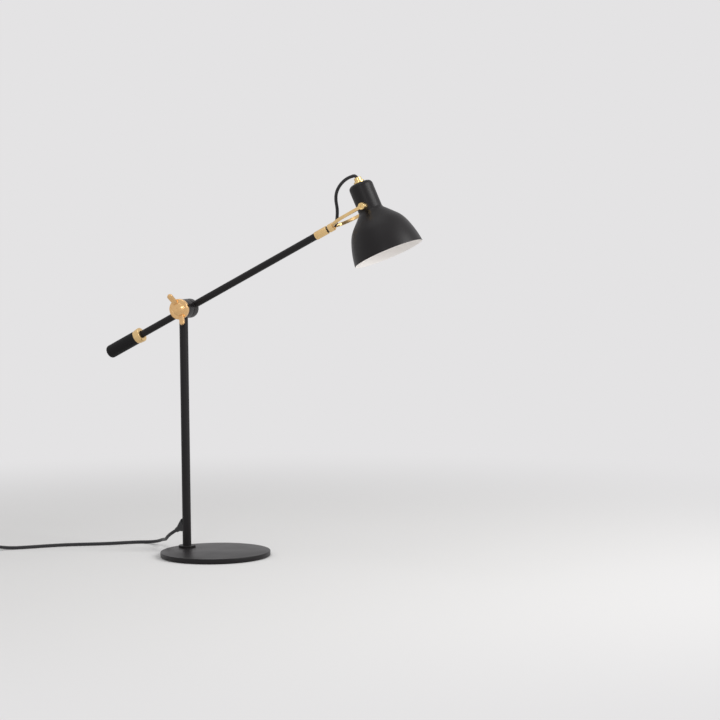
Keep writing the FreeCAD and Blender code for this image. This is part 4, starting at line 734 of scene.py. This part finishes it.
# %% Knob body
KNOB_BACK = -11.5
KNOB_FACE = -18.1
KNOB_RADIUS = 16
DOME_RADIUS = 10.4
DOME_HEIGHT = 3.0
DOME_PARTS = 12
ball = (DOME_RADIUS ** 2 + DOME_HEIGHT ** 2) / (2 * DOME_HEIGHT)
dome = []
for k in range(DOME_PARTS + 1):
    tilt = math.asin(DOME_RADIUS / ball) * (DOME_PARTS - k) / DOME_PARTS
    dome.append((ball * math.sin(tilt), KNOB_FACE - DOME_HEIGHT + ball * (1 - math.cos(tilt))))
knob = turn_on_lathe("wing_knob_brass", softened([
    (0, KNOB_BACK), (KNOB_RADIUS, KNOB_BACK, 1.4), (KNOB_RADIUS, KNOB_FACE, 1.4),
    (DOME_RADIUS + 0.5, KNOB_FACE, 0.4)]) + dome, 128)
settle(knob, ALONG_HUB)


# %% Wings
WING_ROOT = 9                   # hub axis to the middle of a wing's root


def wing(turn):
    """One wing of the knob, at an angle round it."""
    width, thick, length, lean = 8.5, 3.4, 20.5, 36
    bpy.ops.object.select_all(action="DESELECT")
    bpy.ops.mesh.primitive_circle_add(vertices=40, radius=width / 2 * MM, fill_type="NGON",
                                      rotation=(math.radians(90), 0, 0))
    made = bpy.context.object
    bpy.ops.object.transform_apply(rotation=True)
    bpy.ops.object.mode_set(mode="EDIT")
    bpy.ops.transform.translate(value=(0, thick / 2 * MM, (length - width / 2) * MM))
    bpy.ops.mesh.select_all(action="DESELECT")
    bpy.ops.object.mode_set(mode="OBJECT")
    for vertex in made.data.vertices:
        vertex.select = vertex.co.z < (length - width / 2 - 0.01) * MM
    bpy.ops.object.mode_set(mode="EDIT")
    bpy.ops.transform.translate(value=(0, 0, -(length - width / 2) * MM))
    bpy.ops.mesh.select_all(action="SELECT")
    bpy.ops.mesh.extrude_region_move(TRANSFORM_OT_translate={"value": (0, -thick * MM, 0)})
    bpy.ops.mesh.select_all(action="SELECT")
    bpy.ops.mesh.normals_make_consistent(inside=False)
    bpy.ops.object.mode_set(mode="OBJECT")
    ease_edges(made, 0.7)
    root = Matrix.Translation((0, (KNOB_FACE + thick / 2) * MM, WING_ROOT * MM))
    leaning = root @ Matrix.Rotation(math.radians(lean), 4, "X")
    settle(made, place(HUB, turn - ARM_SLOPE) @ leaning)
    return made


for turn in (0, 180):
    blade = wing(turn)
    only(knob)
    blade.select_set(True)
    bpy.ops.object.join()
finish_piece(knob, brass_knob, "knob", "brass", "wing_knob")

# %% [markdown]
# ## Arm and counterweight
# The arm is a thin tube and the weight's rod is solid; both are pushed into the far block.
# The weight is a steel cylinder with a well rounded free end, screwed against a brass collar
# whose flange swells out towards the arm.

# %% Arm, rod and weight
ARM_BORE = 4.1
ROD_START = 6.2                 # hub axis to each rod's end inside the far block
ARM_END = 256.4
ROD_END = -94.4
COLLAR_FACE = -90.5
COLLAR_BACK = -102.1
WEIGHT_START = -102.15
WEIGHT_END = -157.6
WEIGHT_RADIUS = 10.5
arm = turn_on_lathe("arm_tube_black", softened([
    (ARM_BORE, ROD_START), (ARM_RADIUS, ROD_START), (ARM_RADIUS, ARM_END), (ARM_BORE, ARM_END),
    (ARM_BORE, ROD_START)]), 80)
settle(arm, ALONG_ARM)
finish_piece(arm, coat_black, "arm", "satin_black", "arm_tube")
rod = turn_on_lathe("weight_rod_black", softened([
    (0, ROD_END), (ARM_RADIUS, ROD_END), (ARM_RADIUS, -ROD_START), (0, -ROD_START)]), 80)
settle(rod, ALONG_ARM)
finish_piece(rod, coat_black, "arm", "satin_black", "weight_rod")
weight = turn_on_lathe("counterweight_steel", softened([
    (0, WEIGHT_END), (WEIGHT_RADIUS, WEIGHT_END, 6), (WEIGHT_RADIUS, WEIGHT_START, 0.25),
    (0, WEIGHT_START)], 10), 112)
settle(weight, ALONG_ARM)
finish_piece(weight, coat_weight, "arm", "matt_black", "counterweight")
weight_ring = turn_on_lathe("weight_collar_brass", softened([
    (ARM_RADIUS, COLLAR_BACK), (WEIGHT_RADIUS, COLLAR_BACK), (11.26, -98.3, 5), (11.6, -94.5, 3),
    (11.6, COLLAR_FACE, 1.3), (6.2, COLLAR_FACE, 0.3), (5.6, -91.4),
    (ARM_RADIUS, COLLAR_BACK)]), 128)
settle(weight_ring, ALONG_ARM)
finish_piece(weight_ring, brass_arm, "arm", "brass", "weight_collar", smooth=40)

# %% [markdown]
# ## Ferrule and swivel
# The brass sleeve closes the end of the arm.  The fork's hollow spindle turns in it, with a
# black washer in the gap, and a fine groove is turned near the sleeve's start.

# %% Ferrule and swivel washer
SLEEVE_RADIUS, SLEEVE_HOLE = 6.4, 5.55
SLEEVE_START, SLEEVE_WALL, SLEEVE_END = 244.4, 262.5, 265.9
GROOVE_RADIUS, GROOVE_START, GROOVE_END = 6.05, 247.4, 248.2
SPINDLE_HOLE = 4.1
ferrule = turn_on_lathe("ferrule_brass", softened([
    (SLEEVE_HOLE, SLEEVE_START), (SLEEVE_RADIUS, SLEEVE_START, 0.4),
    (SLEEVE_RADIUS, GROOVE_START, 0.12), (GROOVE_RADIUS, GROOVE_START, 0.08),
    (GROOVE_RADIUS, GROOVE_END, 0.08), (SLEEVE_RADIUS, GROOVE_END, 0.12),
    (SLEEVE_RADIUS, SLEEVE_END, 0.5), (SPINDLE_HOLE, SLEEVE_END), (SPINDLE_HOLE, SLEEVE_WALL),
    (SLEEVE_HOLE, SLEEVE_WALL), (SLEEVE_HOLE, SLEEVE_START)]), 112)
settle(ferrule, ALONG_ARM)
finish_piece(ferrule, brass_arm, "arm", "brass", "ferrule")
SWIVEL_RADIUS, SWIVEL_START, SWIVEL_END = 5.1, 265.95, 268.35
swivel = turn_on_lathe("swivel_washer_black", softened([
    (SPINDLE_HOLE, SWIVEL_START), (SWIVEL_RADIUS, SWIVEL_START, 0.2),
    (SWIVEL_RADIUS, SWIVEL_END, 0.2), (SPINDLE_HOLE, SWIVEL_END),
    (SPINDLE_HOLE, SWIVEL_START)]), 80)
settle(swivel, ALONG_ARM)
finish_piece(swivel, nylon_black, "arm", "black_nylon", "swivel_washer")

# %% [markdown]
# ## Fork
# Each prong is flat bar bent on edge: its middle line is drawn as one row of vertices and
# extruded to the bar's height, Solidify gives the thickness and a bevel eases the long edges.
# A turned boss makes the eye, and both prongs run into a turned root.


# %% Prongs
PRONG_OUT = 29                  # arm axis to the middle of each prong
BAR_HEIGHT = 5
BAR_THICKNESS = 3
EYE_RADIUS = 5.3
ROOT_RADIUS, ROOT_BORE, ROOT_START = 6.4, 2.55, -9.6


def flat_bar(side):
    """One prong, in a frame at the crotch with the arm along X."""
    points = softened([(-2, 2 * side), (6.5, 17.6 * side, 13), (21, PRONG_OUT * side, 34),
                       (FORK_REACH, PRONG_OUT * side)], 10)
    made = draw_line("prong", [(p[0], p[1], -BAR_HEIGHT / 2) for p in points])
    bpy.ops.mesh.select_all(action="SELECT")
    bpy.ops.mesh.extrude_region_move(TRANSFORM_OT_translate={"value": (0, 0, BAR_HEIGHT * MM)})
    bpy.ops.object.mode_set(mode="OBJECT")
    wall = made.modifiers.new("bar", "SOLIDIFY")
    wall.thickness = BAR_THICKNESS * MM
    wall.offset = 0
    apply_all(made)
    ease_edges(made, 0.5)
    half = BAR_THICKNESS / 2
    eye = turn_on_lathe("eye", softened([
        (0, -half), (EYE_RADIUS, -half, 0.45), (EYE_RADIUS, half, 0.45), (0, half)]), 80)
    settle(eye, place((FORK_REACH, PRONG_OUT * side, 0), -90, "X"))
    return [made, eye]


fork = turn_on_lathe("fork_brass", softened([
    (ROOT_BORE, ROOT_START), (ROOT_RADIUS, ROOT_START, 0.9), (ROOT_RADIUS, 0, 0.9), (3.1, 0, 0.2),
    (ROOT_BORE, -0.6), (ROOT_BORE, ROOT_START)]), 112)
settle(fork, place((0, 0, 0), 90, "Y"))
parts = flat_bar(-1) + flat_bar(1)
only(fork)
for part in parts:
    part.select_set(True)
bpy.ops.object.join()
settle(fork, place(CROTCH, -ARM_SLOPE))
finish_piece(fork, brass_arm, "fork", "brass", "fork")

# %% [markdown]
# ## Shade
# The shade is spun from steel sheet: a straight neck with a flat top, a tight throat and a
# bell that opens in three arcs.  Each arc leaves in the direction in which the last arrived,
# so the outline stays smooth; the inside follows it one wall further in, and the rim is
# rounded over.  Outside it is satin black, inside warm white.

# %% Shade outline
WALL = 1.2
NECK_RADIUS, NECK_TOP, NECK_END = 18.7, 37.6, -4.4
NECK_CORNER = 6.5
THROAT_BEND = 7.25
SHADE_STATIONS = ((35.4, -24.5), (45.3, -40.0), (54.7, -77.5))


def sweep_to(start, arrow, end, parts):
    """Points and directions on the arc that leaves start in a direction and meets end."""
    chord = end - start
    turn = 2 * math.atan2(arrow.x * chord.y - arrow.y * chord.x, arrow.dot(chord))
    if abs(turn) < 1e-6:
        return [(end, arrow)]
    centre = start + Vector((-arrow.y, arrow.x)) * (chord.length / (2 * math.sin(turn / 2)))
    return [(centre + turned(start - centre, turn * k / parts), turned(arrow, turn * k / parts))
            for k in range(1, parts + 1)]


throat = math.radians(45)
throat_end = Vector((NECK_RADIUS + THROAT_BEND * (1 - math.cos(throat)),
                     NECK_END - THROAT_BEND * math.sin(throat)))
trail = [(Vector((NECK_RADIUS - NECK_CORNER, NECK_TOP)), Vector((1, 0)))]
trail += sweep_to(*trail[-1], Vector((NECK_RADIUS, NECK_TOP - NECK_CORNER)), 10)
trail += sweep_to(*trail[-1], Vector((NECK_RADIUS, NECK_END)), 1)
trail += sweep_to(*trail[-1], throat_end, 10)
for station in SHADE_STATIONS:
    trail += sweep_to(*trail[-1], Vector(station), 18)
outside = [point for point, arrow in trail]
inside = [point + Vector((arrow.y, -arrow.x)) * WALL for point, arrow in trail]
rim, down = trail[-1]
middle = (outside[-1] + inside[-1]) / 2
lip = [middle + turned(outside[-1] - middle, -math.pi * k / 6) for k in range(1, 6)]
print("rim at", [round(c, 1) for c in rim], "facing", [round(c, 2) for c in down])

# %% Shade
GLAND_HOLE = 5.05               # radius
top_hole = [Vector((GLAND_HOLE, NECK_TOP))]
shade = turn_on_lathe("shade_spun_steel", top_hole + outside + lip + inside[::-1]
                      + [Vector((GLAND_HOLE, NECK_TOP - WALL))] + top_hole, 224)
shade.data.materials.append(coat_black)
shade.data.materials.append(enamel_white)
for face in shade.data.polygons:
    out = Vector((face.center.x, face.center.y, 0)).normalized() + Vector((0, 0, 0.35))
    face.material_index = 1 if face.normal.dot(out) < 0 else 0
settle(shade, ON_SHADE)
finish_piece(shade, coat_black, "head", "satin_black", "shade")

# %% [markdown]
# ## Pivot
# On each side a brass bush stands off the neck, with a thin washer against the prong's eye and
# a round headed screw through all of them.  The screw's head is dished, with a hexagon socket.


# %% Bushes, washers and screws
SCREW_CLEAR = 2.1               # radius of the holes that the screws pass
SCREW_TOP = 33.2                # shade's middle to just over each screw's head
SOCKET_DEPTH, SOCKET_RADIUS = 1.85, 2.08


def both_sides(name, outline, steps, surface, slot, node):
    """One turned piece on each side of the neck, with its axis along the pivot."""
    for side, tag in ((-1, "near"), (1, "far")):
        piece = turn_on_lathe(f"{name}_{tag}", outline, steps)
        settle(piece, ON_SHADE @ Matrix.Rotation(math.radians(-90 * side), 4, "X"))
        if name == "pivot_screw":
            top = PIN + Vector((0, side * SCREW_TOP, 0))
            drill(piece, top, top - Vector((0, side * SOCKET_DEPTH, 0)), SOCKET_RADIUS, 6)
        finish_piece(piece, surface, "head", slot, node)


both_sides("spacer_bush", softened([
    (3.5, 16.5), (5.2, 16.5), (5.2, 26.95, 0.4), (SCREW_CLEAR, 26.95), (SCREW_CLEAR, 16.5),
    (3.5, 16.5)]), 80, brass_shade, "brass", "spacer_bushes")
both_sides("pivot_washer", softened([
    (SCREW_CLEAR, 27.0), (5.2, 27.0, 0.1), (5.2, 27.4, 0.1), (SCREW_CLEAR, 27.4),
    (SCREW_CLEAR, 27.0)]), 64, nylon_black, "black_nylon", "pivot_washers")
both_sides("pivot_screw", softened([
    (0, 27.5), (2, 27.5), (2, 30.55), (5.2, 30.55, 0.15), (5.2, 33.15, 0.6), (3.9, 33.15, 0.25),
    (3.3, 32.75, 0.3), (0, 32.75)]), 80, brass_shade, "brass", "pivot_screws")

# %% [markdown]
# ## Gland
# A brass nut and cap on the neck's flat top grip the lead.  Both are plain turned rings with
# broken edges, and the cap's mouth is eased where the lead goes in.

# %% Gland nut and cap
NUT_RADIUS, NUT_TOP = 8.2, 41.1
CAP_RADIUS, CAP_TOP = 5.8, 46.8
LEAD_HOLE = 2.55                # radius
gland_nut = turn_on_lathe("gland_nut_brass", softened([
    (5, NECK_TOP), (NUT_RADIUS, NECK_TOP, 0.4), (NUT_RADIUS, NUT_TOP, 0.8), (5, NUT_TOP),
    (5, NECK_TOP)]), 96)
settle(gland_nut, ON_SHADE)
finish_piece(gland_nut, brass_shade, "head", "brass", "gland_nut")
gland = turn_on_lathe("gland_cap_brass", softened([
    (LEAD_HOLE, NUT_TOP), (CAP_RADIUS, NUT_TOP, 0.2), (CAP_RADIUS, CAP_TOP, 0.8),
    (2.9, CAP_TOP, 0.3), (LEAD_HOLE, 46.3), (LEAD_HOLE, NUT_TOP)]), 96)
settle(gland, ON_SHADE)
finish_piece(gland, brass_shade, "head", "brass", "cable_gland")

# %% [markdown]
# ## Lampholder and lamp
# Up in the shade sit a pale moulded holder and a round opal lamp.  They show only from below,
# but they are what the shade is for: the holder has a rounded cap and a ribbed body, and the
# glass runs in straight lines from its neck into the globe.

# %% Lampholder
HOLDER_RADIUS = 13.25
HOLDER_INSIDE = 11.6
HOLDER_FOOT = -12.4
RIBS, RIB_PITCH = 6, 2.4
cap = turn_on_lathe("lampholder_dome", softened([
    (5, 33.6), (HOLDER_RADIUS, 33.6, 2.4), (HOLDER_RADIUS, 18.6, 0.3), (HOLDER_INSIDE, 18.6),
    (HOLDER_INSIDE, 31.8), (5, 31.8), (5, 33.6)]), 96)
settle(cap, ON_SHADE)
finish_piece(cap, thermoset_pale, "head", "holder_plastic", "lampholder_cap")
ribs = [(HOLDER_INSIDE, 27.5), (HOLDER_INSIDE, 18.55), (HOLDER_RADIUS, 18.55, 0.3)]
for k in range(RIBS):
    drop = RIB_PITCH * k
    ribs += [(HOLDER_RADIUS, 15 - drop, 0.2), (12.85, 14.6 - drop, 0.2),
             (12.85, 13.8 - drop, 0.2), (HOLDER_RADIUS, 13.4 - drop, 0.2)]
ribs += [(HOLDER_RADIUS, HOLDER_FOOT, 0.6), (7.5, HOLDER_FOOT, 0.3), (7.5, 10), (0, 10),
         (0, 27.5)]
holder = turn_on_lathe("lampholder_skirt", softened(ribs[::-1]) + [Vector((0, 27.5))], 96)
settle(holder, ON_SHADE)
finish_piece(holder, thermoset_pale, "head", "holder_plastic", "lampholder_body")

# %% Lamp
GLOBE = 22.5                    # radius
LAMP_TIP = 66                   # pin down to the end of the glass
LAMP_NECK_TOP = -14.95
GLOBE_PARTS = 28
globe_centre = Vector((0, GLOBE - LAMP_TIP))
neck_end = Vector((10, LAMP_NECK_TOP))
lean = math.acos(GLOBE / (neck_end - globe_centre).length)
meeting = turned((neck_end - globe_centre).normalized(), -lean) * GLOBE
sweep = math.atan2(meeting.y, meeting.x) + math.pi / 2
globe = [globe_centre + turned(meeting, -sweep * k / GLOBE_PARTS)
         for k in range(GLOBE_PARTS + 1)]
globe[-1] = Vector((0, -LAMP_TIP))
lamp = turn_on_lathe("lamp_opal", [Vector((0, LAMP_NECK_TOP)), neck_end] + globe, 128)
settle(lamp, ON_SHADE)
finish_piece(lamp, opal_glass, "head", "opal_glass", "bulb_glass")

# %% [markdown]
# ## Pieces that stay as drawn
# Nuts, pins, cables, the switch, the plug and what hides inside the lamp are right as the CAD
# model has them.  They keep their shapes and get real surfaces, by the name of their finish.

# %% Finishes for the CAD pieces
kept = []
for name, piece in NODES.items():
    if piece.hide_render:
        continue
    for holder_slot in piece.material_slots:
        finish = holder_slot.material.name.split(".")[0]
        holder_slot.material = SLOT_FINISH.get(finish, moulded_black)
    kept.append(name)
# the nuts in the neck turn with the shade, so their rings follow it too
NODES["bush_nuts"].material_slots[0].material = brass_shade
print("kept as drawn:", ", ".join(sorted(kept)))

# %% [markdown]
# ## Floor and light
# The floor is pale paper that takes the lamp's shadow and, past it, turns little by little to
# the even tone of the background, so that no horizon shows from any side.  A large soft lamp
# stands to the right, a small one near the camera puts a spark on the knob, one hangs above.

# %% Set
FAR_TONE = "#e4e3e4"
FADE_START, FADE_END = 0.4, 1.5    # metres from the foot
FLOOR_RADIUS = 24
FLOOR_LEVEL = -0.0001


def pale_paper(near, far):
    """Matt paper near the lamp that fades to an even tone with the distance."""
    material, tree, surface, where = new_material("seamless_paper_pale", Roughness=0.95, IOR=1.2)
    fibre = noise(tree, where, 2, 3.0)
    tint = between(tree, colour(near), colour(near, 1.02), fibre)
    glow = add(tree, "ShaderNodeEmission", {"Color": colour(far), "Strength": 1.0})
    away = add(tree, "ShaderNodeVectorMath", {0: where}, operation="LENGTH")
    past = add(tree, "ShaderNodeMapRange",
               {"Value": away.outputs["Value"], "From Min": FADE_START, "From Max": FADE_END},
               interpolation_type="SMOOTHSTEP")
    both = add(tree, "ShaderNodeMixShader", {0: past.outputs["Result"], 1: surface.outputs["BSDF"],
                                             2: glow.outputs["Emission"]})
    dress(tree, surface, Base_Color=tint)
    tree.links.new(both.outputs["Shader"], tree.nodes["Material Output"].inputs["Surface"])
    return material


bpy.ops.object.select_all(action="DESELECT")
bpy.ops.mesh.primitive_circle_add(vertices=96, radius=FLOOR_RADIUS, fill_type="NGON",
                                  location=(0, 0, FLOOR_LEVEL))
floor = bpy.context.object
floor.name = "paper_floor"
bpy.ops.object.transform_apply(location=True)
floor.data.materials.append(pale_paper("#e9e8e7", FAR_TONE))


# %% Light
def soft_lamp(name, spot, aim, size, watts):
    """A square soft lamp that stands at a spot and points at another."""
    lamp_data = bpy.data.lights.new(name, "AREA")
    lamp_data.size = size
    lamp_data.energy = watts
    made = bpy.data.objects.new(name, lamp_data)
    bpy.context.scene.collection.objects.link(made)
    away = Vector(spot) - Vector(aim)
    made.matrix_world = Matrix.Translation(spot) @ away.to_track_quat("Z", "Y").to_matrix().to_4x4()


soft_lamp("key", (2.3, 0.0, 1.5), (0, 0, 0.3), 1.4, 42)
soft_lamp("front", (0.75, -2.6, 1.15), (0, 0, 0.35), 0.45, 5)
soft_lamp("top", (-0.3, -0.6, 2.6), (0, 0, 0), 2.0, 12)
world = bpy.data.worlds.new("studio")
bpy.context.scene.world = world
world.use_nodes = True
sky = world.node_tree
soft = sky.nodes["Background"]
soft.inputs["Color"].default_value = colour("#f0f0f1")
soft.inputs["Strength"].default_value = 0.5
seen = add(sky, "ShaderNodeBackground", {"Color": colour(FAR_TONE), "Strength": 1.0})
path = add(sky, "ShaderNodeLightPath")
direct = add(sky, "ShaderNodeMath", {0: path.outputs["Is Camera Ray"],
                                     1: path.outputs["Is Glossy Ray"]})
shown = add(sky, "ShaderNodeMath", {0: direct.outputs[0],
                                    1: path.outputs["Is Transmission Ray"]}, use_clamp=True)
blend = add(sky, "ShaderNodeMixShader", {0: shown.outputs[0], 1: soft.outputs[0],
                                         2: seen.outputs[0]})
sky.links.new(blend.outputs[0], sky.nodes["World Output"].inputs["Surface"])
bpy.context.scene.view_settings.view_transform = "Standard"
